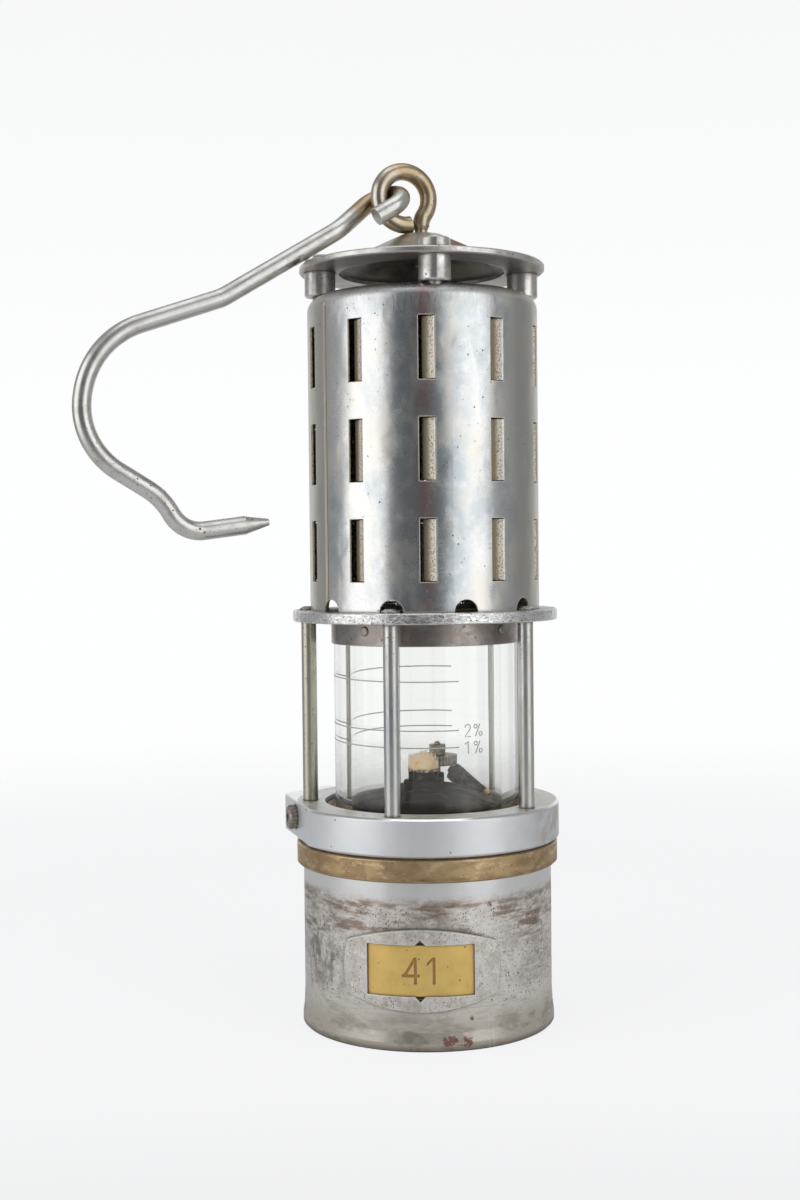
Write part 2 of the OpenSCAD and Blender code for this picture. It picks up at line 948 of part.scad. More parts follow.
module cap_rivets() {
    tail_z = bonnet_top - bonnet_t - seat_gap;
    color("#a5a39c")
        union() {
            around(4, spacer_az)
                translate([spacer_circle, 0, 0])
                    cap_rivet(tail_z);
            // The spread tails, which follow the inside of the bonnet's shoulder
            intersection() {
                around(4, spacer_az)
                    bar([spacer_circle, 0], 3.3, tail_z - 1.2, 1.2);
                translate([0, 0, upper_top])
                    rotate_extrude()
                        bonnet_section(bonnet_t + seat_gap);
            }
        }
}

// Solid form of the dome, a low cone with a flat crown, drawn in by a margin
module dome_form(margin) {
    crown_r = 7;
    run = (dome_r - crown_r) / dome_h;
    inset = margin * sqrt(1 + run * run);
    foot_z = (margin - inset) / run;
    translate([0, 0, cap_z - past])
        cylinder(h = cap_t + past + foot_z + 0.01, r = dome_r - margin);
    translate([0, 0, cap_top + foot_z])
        cylinder(h = dome_h - margin - foot_z, r1 = dome_r - margin, r2 = crown_r + run * margin - inset);
}

module cap_plate() {
    color("#a6a49e")
        difference() {
            union() {
                edged_ring(cap_r, dome_r - 2, cap_z, cap_t, 0.4);
                intersection() {
                    dome_form(0);
                    bar([0, 0], 60, cap_z, 60);
                }
            }
            dome_form(dome_t);
            around(4, spacer_az)
                translate([spacer_circle, 0, cap_z - past])
                    cylinder(h = cap_t + 2 * past, r = 2.4 + seat_gap);
            bar([0, 0], shank_r + run_gap, cap_z, 30);
        }
}

/* ---- Eyebolt and hook ---- */

// The eyebolt's wire leaves the shank in a small bend away from the hook, then rounds the ring
neck_bend = 6;
neck_lead = 0.3;
neck_run = 0.5;
centres = ring_r + neck_bend;
neck_rise = sqrt(centres * centres + neck_run * neck_run - pow(ring_out + neck_bend, 2));
neck_turn = atan2(neck_rise, ring_out + neck_bend) - atan2(neck_run, centres);
ring_gap_angle = 105;
shank_top = ring_z - neck_rise - neck_lead;
shank_end = cap_top + 0.4;

module eyebolt() {
    color("#8c7654")
        at_azimuth(hook_az)
            union() {
                bar([0, 0], shank_r, shank_end, shank_top - 1 - shank_end);
                translate([0, 0, shank_top - 1.5])
                    cylinder(h = 1.5, r1 = shank_r, r2 = ring_wire);
                translate([0, 0, shank_top])
                    rotate([0, -90, 0])
                        wire_run([[neck_lead, neck_bend, neck_turn],
                            [neck_run, ring_r, -(180 + neck_turn + ring_gap_angle)]], ring_wire);
            }
}

module eyebolt_washer() {
    color("#7a6f60")
        tube(5, shank_r + 0.01, cap_top + dome_h - dome_t - 1.5, 1.2);
}

module eyebolt_nut() {
    nut_r = 4.6;
    color("#7a6f60")
        difference() {
            bar([0, 0], nut_r, cap_top + dome_h - dome_t - 5.4, 3.8, $fn = 6);
            bar([0, 0], shank_r + 0.01, cap_top, 20, $fn = 96);
        }
}

// The hook's eye goes round the ring's wire, tilted so that its end lies below the wire behind it;
// the hook leaves it behind and comes back into the plane
eye_r = 7.2;
eye_angle = 19;
sway = 25;
sway_r = 15;
eye_tilt = 20;
sway_run = (eye_r * cos(sway) - sway_r * (1 - cos(sway))) / sin(sway);
eye_reach = sway_r * sin(sway) + sway_run * cos(sway) + eye_r * sin(sway);
tip_len = 8;
// The hook's outline from there on, as steps of [straight length, bend radius, turn]
hook_steps = [[61 - eye_reach, 17.5, 12], [26, 27.5, -62], [1, 23, -67.5], [10.5, 21, 28],
    [1, 10.5, -66.5], [21.5 - tip_len, 0, 0]];

module hook() {
    color("#8f908c")
        at_azimuth(hook_az)
            translate([ring_out + ring_r * cos(eye_angle), 0, ring_z - ring_r * sin(eye_angle)])
                rotate([0, hook_slope, 0])
                    translate([eye_reach, 0, 0])
                        union() {
                            wire_run(hook_steps, hook_wire);
                            after_run(hook_steps)
                                translate([-0.2, 0, 0])
                                    rotate([0, 90, 0])
                                        cylinder(h = tip_len, r1 = hook_wire - 0.03, r2 = 1.1);
                            rotate([90 + eye_tilt, 0, 180])
                                wire_run([[0, sway_r, -sway], [sway_run, eye_r, 180 + sway], [6, 0, 0]],
                                    hook_wire);
                        }
}

tank_shell();
tank_bottom();
tank_top();
neck_ring();
joint_washer();
label_frame();
number_plate();
cotton_packing();
filler_plug();
filler_washer();
burner_cover();
wick_tube();
wick();
wick_carrier();
wick_spindle();
spindle_gland();
wick_knob();
striker_tube();
striker_shaft();
striker_wheel();
striker_spring();
striker_key();
flint_tube();
flint();
flint_spring();
flint_plug();
lower_ring();
lock_screw();
glass_seat();
lower_gasket();
lamp_glass();
upper_gasket();
gauze_seat();
glass_collar();
collar_rivets();
pillars();
upper_ring();
gauze_ring();
inner_gauze();
outer_gauze();
gauze_cap();
bonnet();
cap_spacers();
cap_rivets();
cap_plate();
eyebolt();
eyebolt_washer();
eyebolt_nut();
hook();
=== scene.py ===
import json
import math

import bpy
import numpy as np
from mathutils import Matrix, Vector


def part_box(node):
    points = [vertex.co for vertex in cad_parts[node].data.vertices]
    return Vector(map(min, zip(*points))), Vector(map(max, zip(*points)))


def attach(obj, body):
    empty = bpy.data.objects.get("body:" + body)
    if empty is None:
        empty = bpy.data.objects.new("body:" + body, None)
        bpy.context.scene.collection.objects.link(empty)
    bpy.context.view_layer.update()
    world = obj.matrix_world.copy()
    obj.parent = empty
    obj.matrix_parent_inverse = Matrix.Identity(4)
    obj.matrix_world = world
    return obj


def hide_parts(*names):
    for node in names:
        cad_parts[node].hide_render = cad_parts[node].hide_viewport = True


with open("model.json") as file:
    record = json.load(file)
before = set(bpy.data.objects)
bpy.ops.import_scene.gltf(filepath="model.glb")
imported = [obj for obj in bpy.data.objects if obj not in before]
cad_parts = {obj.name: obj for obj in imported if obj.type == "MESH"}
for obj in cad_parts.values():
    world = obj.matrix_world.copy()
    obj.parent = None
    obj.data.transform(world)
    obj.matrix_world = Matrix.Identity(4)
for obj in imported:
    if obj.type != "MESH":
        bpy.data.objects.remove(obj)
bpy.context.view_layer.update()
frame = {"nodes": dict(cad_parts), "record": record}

# Looks for a miner's flame safety lamp. Lengths in this script are millimetres unless a name says
# otherwise; the scene itself is in metres. Azimuths are degrees from the front (-Y) towards +X.
MM = 0.001
SEED = 20
TANK_RADIUS = 41.4


def node_box(node):
    """Lowest and highest corner of a CAD node, in millimetres."""
    low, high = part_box(node)
    return np.array(low) / MM, np.array(high) / MM


def on_axis(azimuth, radius, z):
    """The point at an azimuth and radius about the lamp's axis."""
    a = np.radians(azimuth)
    return np.stack(np.broadcast_arrays(radius * np.sin(a), -radius * np.cos(a), z), axis=-1)


# ---- Layered materials ----


class Look:
    """A material built up in layers. Masks are sockets or numbers from 0 to 1; lengths are millimetres."""

    def __init__(self, name, colour, rough, metallic=1.0):
        self.material = bpy.data.materials.new(name)
        self.material.use_nodes = True
        self.tree = self.material.node_tree
        self.tree.nodes.clear()
        self.colour = self.opaque(colour)
        self.rough = rough
        self.metallic = metallic
        self.height = 0.0
        place = self.add("TexCoord").outputs["Object"]
        self.place = self.add("VectorMath", {0: place, 1: (1 / MM,) * 3}, operation="MULTIPLY").outputs[0]
        split = self.add("SeparateXYZ", {0: self.place}).outputs
        self.x, self.y, self.z = split[0], split[1], split[2]
        self.radius = self.calc("SQRT", self.calc("ADD", self.calc("MULTIPLY", self.x, self.x),
                                                  self.calc("MULTIPLY", self.y, self.y)))
        turn = self.calc("ARCTAN2", self.x, self.calc("MULTIPLY", self.y, -1.0))
        self.azimuth = self.calc("MULTIPLY", turn, 180 / math.pi)

    @staticmethod
    def opaque(colour):
        return (*colour, 1.0) if isinstance(colour, tuple) else colour

    def add(self, kind, inputs=None, **settings):
        node = self.tree.nodes.new("ShaderNode" + kind)
        for name, value in settings.items():
            setattr(node, name, value)
        for name, value in (inputs or {}).items():
            if isinstance(value, bpy.types.NodeSocket):
                self.tree.links.new(value, node.inputs[name])
            else:
                node.inputs[name].default_value = value
        return node

    def calc(self, operation, a, b=0.0):
        return self.add("Math", {0: a, 1: b}, operation=operation).outputs[0]

    def both(self, *masks):
        """Where all of the masks are."""
        result = masks[0]
        for mask in masks[1:]:
            result = self.calc("MULTIPLY", result, mask)
        return result

    def either(self, a, b):
        return self.calc("MAXIMUM", a, b)

    def step(self, value, low, high):
        """0 at low, 1 at high and smooth between them; low may be the larger of the two."""
        inputs = {"Value": value, "From Min": low, "From Max": high}
        return self.add("MapRange", inputs, interpolation_type="SMOOTHSTEP").outputs["Result"]

    def band(self, value, low, high, soft):
        """1 between low and high, with soft edges."""
        above = self.step(value, low - soft, low + soft)
        return self.both(above, self.step(value, high + soft, high - soft))

    def noise(self, size, low, high, stretch=(1, 1, 1), detail=3.0, warp=0.0, shift=0.0):
        """A cloudy mask with features of a size, 0 where the noise is at low and 1 where it is at high."""
        scale = tuple(1 / (size * s) for s in stretch)
        where = self.add("VectorMath", {0: self.place, 1: scale, 2: (shift,) * 3}, operation="MULTIPLY_ADD")
        inputs = {"Vector": where.outputs[0], "Scale": 1.0, "Detail": detail, "Roughness": 0.6,
                  "Distortion": warp}
        return self.step(self.add("TexNoise", inputs).outputs["Fac"], low, high)

    def spots(self, size, share, widest=0.42, shift=0.0):
        """Round spots on a share of the cells of a given size."""
        where = self.add("VectorMath", {0: self.place, 1: (1 / size,) * 3, 2: (shift,) * 3},
                         operation="MULTIPLY_ADD").outputs[0]
        warp = self.add("TexNoise", {"Vector": where, "Scale": 2.2, "Detail": 1.0}).outputs["Color"]
        bent = self.add("VectorMath", {0: warp, 1: (0.35,) * 3, 2: where}, operation="MULTIPLY_ADD")
        cell = self.add("TexVoronoi", {"Vector": bent.outputs[0], "Scale": 1.0})
        chance = self.add("SeparateColor", {0: cell.outputs["Color"]}).outputs[0]
        reach = self.calc("MULTIPLY", self.step(chance, 1 - share, 1.0), widest)
        inside = self.calc("SUBTRACT", reach, cell.outputs["Distance"])
        return self.step(inside, 0.0, 0.12)

    def patch(self, centre, size, ragged=0.5, shift=0.0):
        """A ragged patch about a point; size is its half width along X, Y and Z."""
        away = self.add("VectorMath", {0: self.place, 1: tuple(centre)}, operation="SUBTRACT").outputs[0]
        scaled = self.add("VectorMath", {0: away, 1: tuple(1 / s for s in size)}, operation="MULTIPLY")
        distance = self.add("VectorMath", {0: scaled.outputs[0]}, operation="LENGTH").outputs["Value"]
        rough = self.noise(min(size) * 0.7, 0.0, 1.0, detail=4.0, shift=shift)
        push = self.calc("MULTIPLY", self.calc("SUBTRACT", rough, 0.5), ragged * 3)
        return self.step(self.calc("ADD", distance, push), 1.15, 0.75)

    def nooks(self, reach):
        """Where the surface is hemmed in within a reach: an ambient-occlusion mask, with which the looks
        paint shade into crevices.
        """
        shade = self.add("AmbientOcclusion", {"Distance": reach * MM}, samples=6).outputs["AO"]
        return self.step(shade, 0.95, 0.45)

    def facing(self, axis):
        """The part of the surface's direction along X, Y or Z, from -1 to 1."""
        normal = self.add("NewGeometry").outputs["True Normal"]
        return self.add("SeparateXYZ", {0: normal}).outputs["XYZ".index(axis)]

    def outwards(self):
        """1 where the surface faces straight out from the lamp's axis, less where it leans."""
        lean = self.calc("ADD", self.calc("MULTIPLY", self.facing("X"), self.x),
                         self.calc("MULTIPLY", self.facing("Y"), self.y))
        return self.calc("DIVIDE", lean, self.radius)

    def edges(self, reach):
        """Where the surface turns sharply within a reach: a mask with which the looks paint highlights on
        sharp edges.
        """
        soft = self.add("Bevel", {"Radius": reach * MM}, samples=4).outputs[0]
        hard = self.add("NewGeometry").outputs["Normal"]
        along = self.add("VectorMath", {0: soft, 1: hard}, operation="DOT_PRODUCT").outputs["Value"]
        return self.step(along, 0.992, 0.9)

    def paint(self, mask, colour=None, rough=None, metallic=None, height=None):
        """Lays a colour, a roughness, a metalness or a height over what is there, where the mask is."""
        if colour is not None:
            mix = self.add("Mix", {0: mask, 6: self.colour, 7: self.opaque(colour)}, data_type="RGBA")
            self.colour = mix.outputs[2]
        if rough is not None:
            self.rough = self.add("Mix", {0: mask, 2: self.rough, 3: rough}).outputs[0]
        if metallic is not None:
            self.metallic = self.add("Mix", {0: mask, 2: self.metallic, 3: metallic}).outputs[0]
        if height is not None:
            self.height = self.calc("ADD", self.height, self.calc("MULTIPLY", mask, height))

    def cloud(self, size, low, high, colour, strength=1.0, rough=None, where=1.0, height=None, **shape):
        """Cloudy patches of a colour, at a strength, where a mask is."""
        mask = self.both(self.noise(size, low, high, **shape), where, strength)
        self.paint(mask, colour=colour, rough=rough, height=height)

    def normal(self, rounding=0.0):
        """The shading normal: edges rounded off, then the layers' heights."""
        bump = self.add("Bump", {"Height": self.height, "Distance": MM, "Strength": 1.0})
        if rounding:
            soft = self.add("Bevel", {"Radius": rounding * MM}, samples=4).outputs[0]
            self.tree.links.new(soft, bump.inputs["Normal"])
        return bump.outputs[0]

    def surface(self, shader):
        output = self.add("OutputMaterial")
        self.tree.links.new(shader, output.inputs["Surface"])
        return self.material

    def finish(self, rounding=0.0, **inputs):
        """Ends the material as one principled surface."""
        values = {"Base Color": self.colour, "Roughness": self.rough, "Metallic": self.metallic,
                  "Normal": self.normal(rounding)}
        values.update({name.replace("_", " "): value for name, value in inputs.items()})
        return self.surface(self.add("BsdfPrincipled", values).outputs[0])


def speckle(look, size, share, colour, where=1.0, depth=0.05, rough=0.6, shift=0.0):
    """Small dark pits."""
    pits = look.both(look.spots(size, share, shift=shift), where)
    look.paint(pits, colour=colour, rough=rough, metallic=0.35, height=-0.35 * depth)


def grain(look, size, depth, rough):
    """A fine tooth on the surface, and cloudy patches that are rougher."""
    look.paint(look.noise(size, 0.3, 0.7, detail=2.0), height=depth)
    look.paint(look.noise(size * 14, 0.35, 0.65, detail=4.0, shift=3), rough=rough)


# ---- Metals ----

# Painted shade for crevices, standing also for dirt.
CREVICE_SHADE_AND_DIRT = (0.035, 0.028, 0.022)


def plated_steel():
    """The tank: plating showing wear, pitted and stained, with a smooth light band under the neck ring,
    painted highlights on its sides and a painted dark reflection down its front.
    """
    look = Look("plated_steel", (0.92, 0.87, 0.815), 0.19)
    grain(look, 0.5, 0.006, 0.26)
    swell = look.noise(14, 0.3, 0.7, stretch=(1, 1, 1.6), detail=2)
    look.paint(swell, height=0.1)
    upper = look.step(look.z, 12, 26)
    band = look.step(look.z, 46, 49)
    rubbed = look.noise(0.55, 0.42, 0.62, stretch=(9, 9, 0.6), detail=3, shift=2)
    look.cloud(12, 0.38, 0.6, (0.42, 0.39, 0.36), 0.45, where=rubbed, detail=3, shift=51)
    wear_and_highlight = look.both(look.noise(10, 0.42, 0.6, stretch=(1, 1, 0.8), detail=6, warp=0.5), upper)
    look.paint(look.both(wear_and_highlight, 0.55), colour=(0.46, 0.405, 0.355), rough=0.29)
    fine = look.noise(1.1, 0.46, 0.62, stretch=(1.3, 1.3, 0.8), detail=5, shift=63)
    look.paint(look.both(fine, upper, 0.5), colour=(0.36, 0.315, 0.275), rough=0.34)
    bright = look.noise(4, 0.48, 0.66, stretch=(1.3, 1.3, 0.4), detail=6, warp=0.5, shift=11)
    look.paint(look.both(bright, 0.8), colour=(0.94, 0.92, 0.885), rough=0.24)
    cloudy = look.noise(7, 0.3, 0.6, stretch=(1, 1, 1.6), detail=5, shift=71)
    # Painted highlights: lighter, smoother bands down the sides either side of the front, standing in for
    # reflected light.
    highlit_sides = look.either(look.band(look.azimuth, -44, -14, 7), look.band(look.azimuth, 16, 40, 7))
    look.paint(look.both(highlit_sides, cloudy, upper, 0.6), colour=(0.97, 0.945, 0.91), rough=0.2)
    # Painted reflection: a darker band down the middle of the front, standing in for the dark room
    # reflected there.
    dark_front_reflection = look.both(look.band(look.azimuth, -9, 11, 6), upper, look.step(look.z, 47, 40))
    look.paint(look.both(dark_front_reflection, cloudy, 0.5), colour=(0.38, 0.34, 0.29), rough=0.3)
    brown = look.band(look.z, 33, 47, 3)
    look.cloud(9, 0.5, 0.62, (0.27, 0.19, 0.13), 0.8, rough=0.5, where=brown, stretch=(1.8, 1.8, 0.4),
               detail=6, shift=23)
    smears = look.both(look.band(look.azimuth, -72, -40, 5), look.band(look.z, 16, 40, 8))
    look.cloud(4, 0.4, 0.6, (0.20, 0.18, 0.16), 0.7, rough=0.45, where=smears, stretch=(1, 1, 2), detail=5,
               shift=4)
    low = look.step(look.z, 16, 5)
    look.paint(look.both(low, 0.75), colour=(0.56, 0.52, 0.44), rough=0.28)
    look.cloud(7, 0.48, 0.64, (0.30, 0.27, 0.22), 0.6, rough=0.4, where=low, stretch=(1.5, 1.5, 0.6),
               detail=5, shift=35)
    foot = look.step(look.z, 2.6, 0.5)
    look.paint(look.both(foot, 0.65), colour=(0.16, 0.14, 0.12))
    look.paint(look.both(band, 0.9), colour=(0.83, 0.84, 0.85), rough=0.3)
    edge = look.band(look.z, 44.5, 46.2, 0.8)
    look.cloud(3, 0.4, 0.6, (0.25, 0.19, 0.15), 0.7, rough=0.5, where=edge, stretch=(2, 2, 0.5), detail=4,
               shift=7)
    pits = look.both(look.noise(9, 0.38, 0.56, detail=5, shift=5), look.step(look.z, 9, 17),
                     look.step(look.z, 47, 44))
    speckle(look, 0.8, 0.6, (0.11, 0.09, 0.08), pits, 0.06)
    side = look.both(upper, look.step(look.z, 47, 44))
    speckle(look, 0.45, 0.5, (0.15, 0.125, 0.11), side, 0.04, shift=40)
    for azimuth in (27.0, 29.2):
        weld = look.band(look.azimuth, azimuth - 0.12, azimuth + 0.12, 0.25)
        weld = look.both(weld, look.step(look.z, 50, 46), 0.6)
        look.paint(weld, colour=(0.84, 0.82, 0.78), rough=0.3, height=0.02)
    for azimuth, z, size in ((8.5, 3.2, (2.3, 2.3, 1.5)), (17.0, 2.8, (1.8, 1.8, 1.5)),
                             (19, 10, (0.6, 0.6, 0.7)), (28, 45, (0.8, 0.8, 0.7))):
        rust = look.patch(on_axis(azimuth, TANK_RADIUS, z), size, ragged=0.9, shift=azimuth)
        look.paint(look.both(rust, 0.85), colour=(0.22, 0.06, 0.045), rough=0.7, metallic=0.1, height=0.02)
    # Painted shade: dark where the raised frame meets the tank, from the occlusion mask.
    crease_shade = look.both(look.nooks(2.0), look.band(look.z, 10, 41, 1))
    look.paint(look.both(crease_shade, 0.95), colour=(0.09, 0.075, 0.06), rough=0.6, metallic=0.6)
    inside = look.step(look.radius, TANK_RADIUS - 0.5, TANK_RADIUS - 0.8)
    look.paint(inside, colour=(0.20, 0.17, 0.13), rough=0.6)
    return look.finish(0.25)


def frame_steel():
    """The raised frame: pressed steel with painted shade round it, and bright edges and slopes that are
    partly wear and partly painted highlight.
    """
    look = Look("frame_steel", (0.88, 0.85, 0.81), 0.24)
    grain(look, 0.5, 0.008, 0.36)
    look.paint(look.noise(4, 0.3, 0.7, detail=3), height=0.05)
    look.cloud(5, 0.42, 0.62, (0.50, 0.445, 0.385), 0.5, rough=0.42, detail=6)
    look.cloud(0.9, 0.48, 0.64, (0.42, 0.375, 0.33), 0.45, rough=0.4, detail=5, shift=3)
    look.cloud(1.6, 0.54, 0.7, (0.88, 0.86, 0.82), 0.7, rough=0.2, detail=5, shift=9)
    speckle(look, 0.6, 0.5, (0.12, 0.10, 0.08), look.noise(6, 0.4, 0.58, shift=4), 0.05)
    # Painted shade round the frame, standing also for dirt.
    look.paint(look.both(look.nooks(1.6), 0.9), colour=(0.09, 0.07, 0.055), rough=0.6, metallic=0.6)
    # Bright slopes and edges: partly wear, partly painted highlight where the frame's sides catch the
    # light.
    slope = look.step(look.outwards(), 0.985, 0.93)
    wear_and_highlight = look.both(look.either(slope, look.edges(0.9)), 0.9)
    look.paint(wear_and_highlight, colour=(0.97, 0.96, 0.93), rough=0.3, metallic=0.5)
    return look.finish(0.5)


def satin_ring():
    """The lower ring: machined, satin and slightly blue, with a painted highlight along its upper corner.
    """
    look = Look("satin_ring", (0.87, 0.895, 0.92), 0.46)
    grain(look, 0.35, 0.003, 0.46)
    look.cloud(13, 0.45, 0.7, (0.74, 0.77, 0.80), 0.4, rough=0.5, detail=5, warp=0.8)
    look.cloud(7, 0.55, 0.75, (0.93, 0.935, 0.94), 0.5, rough=0.42, detail=5, shift=8)
    side = look.step(look.azimuth, 44, 62)
    look.cloud(6, 0.3, 0.6, (0.52, 0.47, 0.41), 0.6, where=side, detail=5, shift=22)
    top = look.step(look.facing("Z"), 0.6, 0.9)
    look.cloud(8, 0.3, 0.6, (0.58, 0.555, 0.48), 0.7, rough=0.36, where=top, detail=5, shift=15)
    speckle(look, 0.8, 0.12, (0.20, 0.17, 0.13), look.both(top, look.noise(6, 0.45, 0.6, shift=2)), 0.04)
    speckle(look, 1.5, 0.025, (0.25, 0.23, 0.21), 1.0, 0.05)
    # Painted shade in crevices, standing also for dirt.
    look.paint(look.both(look.nooks(1.2), 0.8), colour=(0.14, 0.10, 0.065), rough=0.6, metallic=0.5)
    # Painted highlight: a bright, smooth line along the upper outer corner.
    corner = look.both(look.band(look.z, 72.35, 73.2, 0.15), look.step(look.radius, 42.9, 43.3))
    look.paint(look.both(corner, 0.9), colour=(0.95, 0.95, 0.95), rough=0.16)
    # Painted highlights on sharp edges, standing also for edge wear.
    look.paint(look.both(look.edges(0.4), 0.75), colour=(0.93, 0.935, 0.94), rough=0.2)
    return look.finish(0.45)


def bonnet_steel():
    """The bonnet: mottled zinc plating, blue and violet in places, with cream speckled flaps; the blue down
    its front is mostly a painted dark reflection.
    """
    look = Look("bonnet_steel", (0.77, 0.775, 0.765), 0.25)
    swell = look.noise(19, 0.3, 0.7, stretch=(1, 1, 1.5), detail=1, shift=9)
    look.paint(swell, height=0.22)
    dents = look.noise(8, 0.5, 0.75, stretch=(1, 1, 1.3), detail=1, shift=14)
    look.paint(dents, height=-0.07)
    fine = look.noise(0.3, 0.35, 0.65, detail=2)
    look.paint(fine, height=0.0025)
    mottle = look.noise(1.1, 0.35, 0.68, detail=5, warp=0.5, shift=31)
    look.paint(look.both(mottle, 0.3), rough=0.33, colour=(0.66, 0.665, 0.65))
    blue = look.noise(17, 0.44, 0.62, stretch=(1, 1, 1.8), detail=5, warp=0.5, shift=6)
    # Painted reflection: a blue-grey band down the front, standing in for the dark room reflected there;
    # elsewhere the blue is the plating's own tint in random patches.
    front = look.band(look.azimuth, -16, 22, 6)
    blue = look.either(look.both(front, 0.9), look.both(blue, 0.7))
    look.cloud(5, 0.2, 0.6, (0.40, 0.475, 0.53), 0.75, rough=0.26, where=blue, detail=6)
    violet = look.band(look.azimuth, -3, 4, 3.5)
    look.cloud(10, 0.35, 0.55, (0.58, 0.37, 0.36), 0.75, where=violet, stretch=(0.7, 0.7, 2.5))
    haze = look.noise(11, 0.46, 0.7, stretch=(1, 1, 1.5), detail=4, shift=77)
    look.paint(look.both(haze, 0.6), colour=(0.83, 0.79, 0.70), rough=0.34)
    olive = look.both(look.step(look.azimuth, 42, 54), 0.7)
    look.paint(olive, colour=(0.50, 0.485, 0.42), rough=0.32)
    left = look.both(look.step(look.azimuth, -48, -56), 0.75)
    look.paint(left, colour=(0.60, 0.59, 0.53), rough=0.34)
    brushed = look.both(look.noise(0.35, 0.35, 0.65, stretch=(1, 1, 14), detail=2, shift=2),
                        look.step(look.z, 228, 235))
    look.paint(brushed, rough=0.4, height=0.008)
    speckle(look, 0.9, 0.12, (0.22, 0.19, 0.15), look.noise(14, 0.45, 0.6, shift=12), 0.04)
    pitted = look.patch(on_axis(-38, 37.6, 232), (4.5, 4.5, 2.2), shift=3)
    speckle(look, 0.7, 0.6, (0.10, 0.085, 0.06), pitted, 0.1)
    # Painted shade in crevices, standing also for dirt.
    look.paint(look.both(look.nooks(0.9), 0.6), colour=(0.26, 0.20, 0.13), rough=0.55, metallic=0.7)
    inner = look.both(look.step(look.radius, 37.85, 37.6), look.step(look.z, 236.5, 235))
    look.paint(inner, colour=(0.90, 0.84, 0.70), rough=0.5, metallic=0.15)
    # Painted shade: the deeper parts of the flaps darken, standing in for their curve turning away from the
    # light.
    deep = look.both(inner, look.step(look.radius, 37.3, 36.5))
    look.paint(look.both(deep, 0.85), colour=(0.20, 0.17, 0.10), metallic=0.6)
    flecks = look.both(inner, look.noise(0.5, 0.53, 0.6, detail=1, shift=50))
    look.paint(look.both(flecks, 0.8), colour=(0.30, 0.22, 0.12), height=-0.02)
    seam = look.both(look.band(look.azimuth, -56.3, -54.7, 0.25), look.step(look.z, 235.5, 234.5))
    look.cloud(0.8, 0.2, 0.5, (0.86, 0.80, 0.66), rough=0.4, where=seam, height=0.12, shift=4)
    # Painted shadow: a dark line beside the lapped seam.
    seam_shadow = look.both(look.band(look.azimuth, -54.4, -53.7, 0.25), look.step(look.z, 235.5, 234.5))
    look.paint(look.both(seam_shadow, 0.8), colour=(0.12, 0.10, 0.07), rough=0.5)
    # Painted highlights: bright cream lines along the sharp outer edges of the slots and flaps.
    rim_highlights = look.both(look.edges(0.7), look.step(look.radius, 37.5, 37.8))
    look.paint(look.both(rim_highlights, 0.95), colour=(0.95, 0.90, 0.78), rough=0.4, metallic=0.3)
    return look.finish(0.25)


def cap_steel():
    """The cap plate with its spacers and rivets: light satin steel, oxidised underneath."""
    look = Look("cap_steel", (0.70, 0.69, 0.66), 0.28)
    grain(look, 0.4, 0.006, 0.4)
    look.cloud(6, 0.46, 0.64, (0.45, 0.415, 0.36), 0.6, rough=0.42, detail=5)
    look.cloud(4, 0.54, 0.7, (0.84, 0.835, 0.81), 0.7, rough=0.22, detail=5, shift=7)
    speckle(look, 0.8, 0.4, (0.14, 0.115, 0.085), look.noise(9, 0.42, 0.6, shift=19), 0.06)
    plate = look.step(look.z, 247.2, 247.24)
    under = look.both(look.step(look.facing("Z"), -0.1, -0.6), plate)
    look.paint(look.both(under, 0.75), colour=(0.40, 0.355, 0.335), rough=0.5)
    pink = look.both(under, look.step(look.radius, 22, 28))
    look.cloud(7, 0.4, 0.65, (0.58, 0.50, 0.475), 0.7, rough=0.42, where=pink, detail=5, shift=28)
    soot = look.both(under, look.step(look.radius, 29, 22))
    look.paint(look.both(soot, 0.85), colour=(0.075, 0.06, 0.052), rough=0.55, metallic=0.5)
    dome = look.both(look.step(look.z, 249.3, 249.5), look.step(look.radius, 29.5, 28.5))
    look.cloud(9, 0.3, 0.6, (0.46, 0.405, 0.33), 0.7, rough=0.38, where=dome, detail=5, shift=33)
    rust = look.both(look.patch((15, -8, 254.5), (8.0, 11, 4.2), ragged=0.5, shift=5), dome)
    look.paint(look.both(rust, 0.95), colour=(0.24, 0.10, 0.065), rough=0.6, metallic=0.2)
    # Painted shade in crevices, standing also for dirt, then painted highlights on sharp edges, standing
    # also for edge wear.
    look.paint(look.both(look.nooks(1.2), 0.7), colour=(0.12, 0.095, 0.07), rough=0.6, metallic=0.6)
    look.paint(look.both(look.edges(0.35), 0.8), colour=(0.92, 0.91, 0.88), rough=0.18)
    return look.finish(0.25)


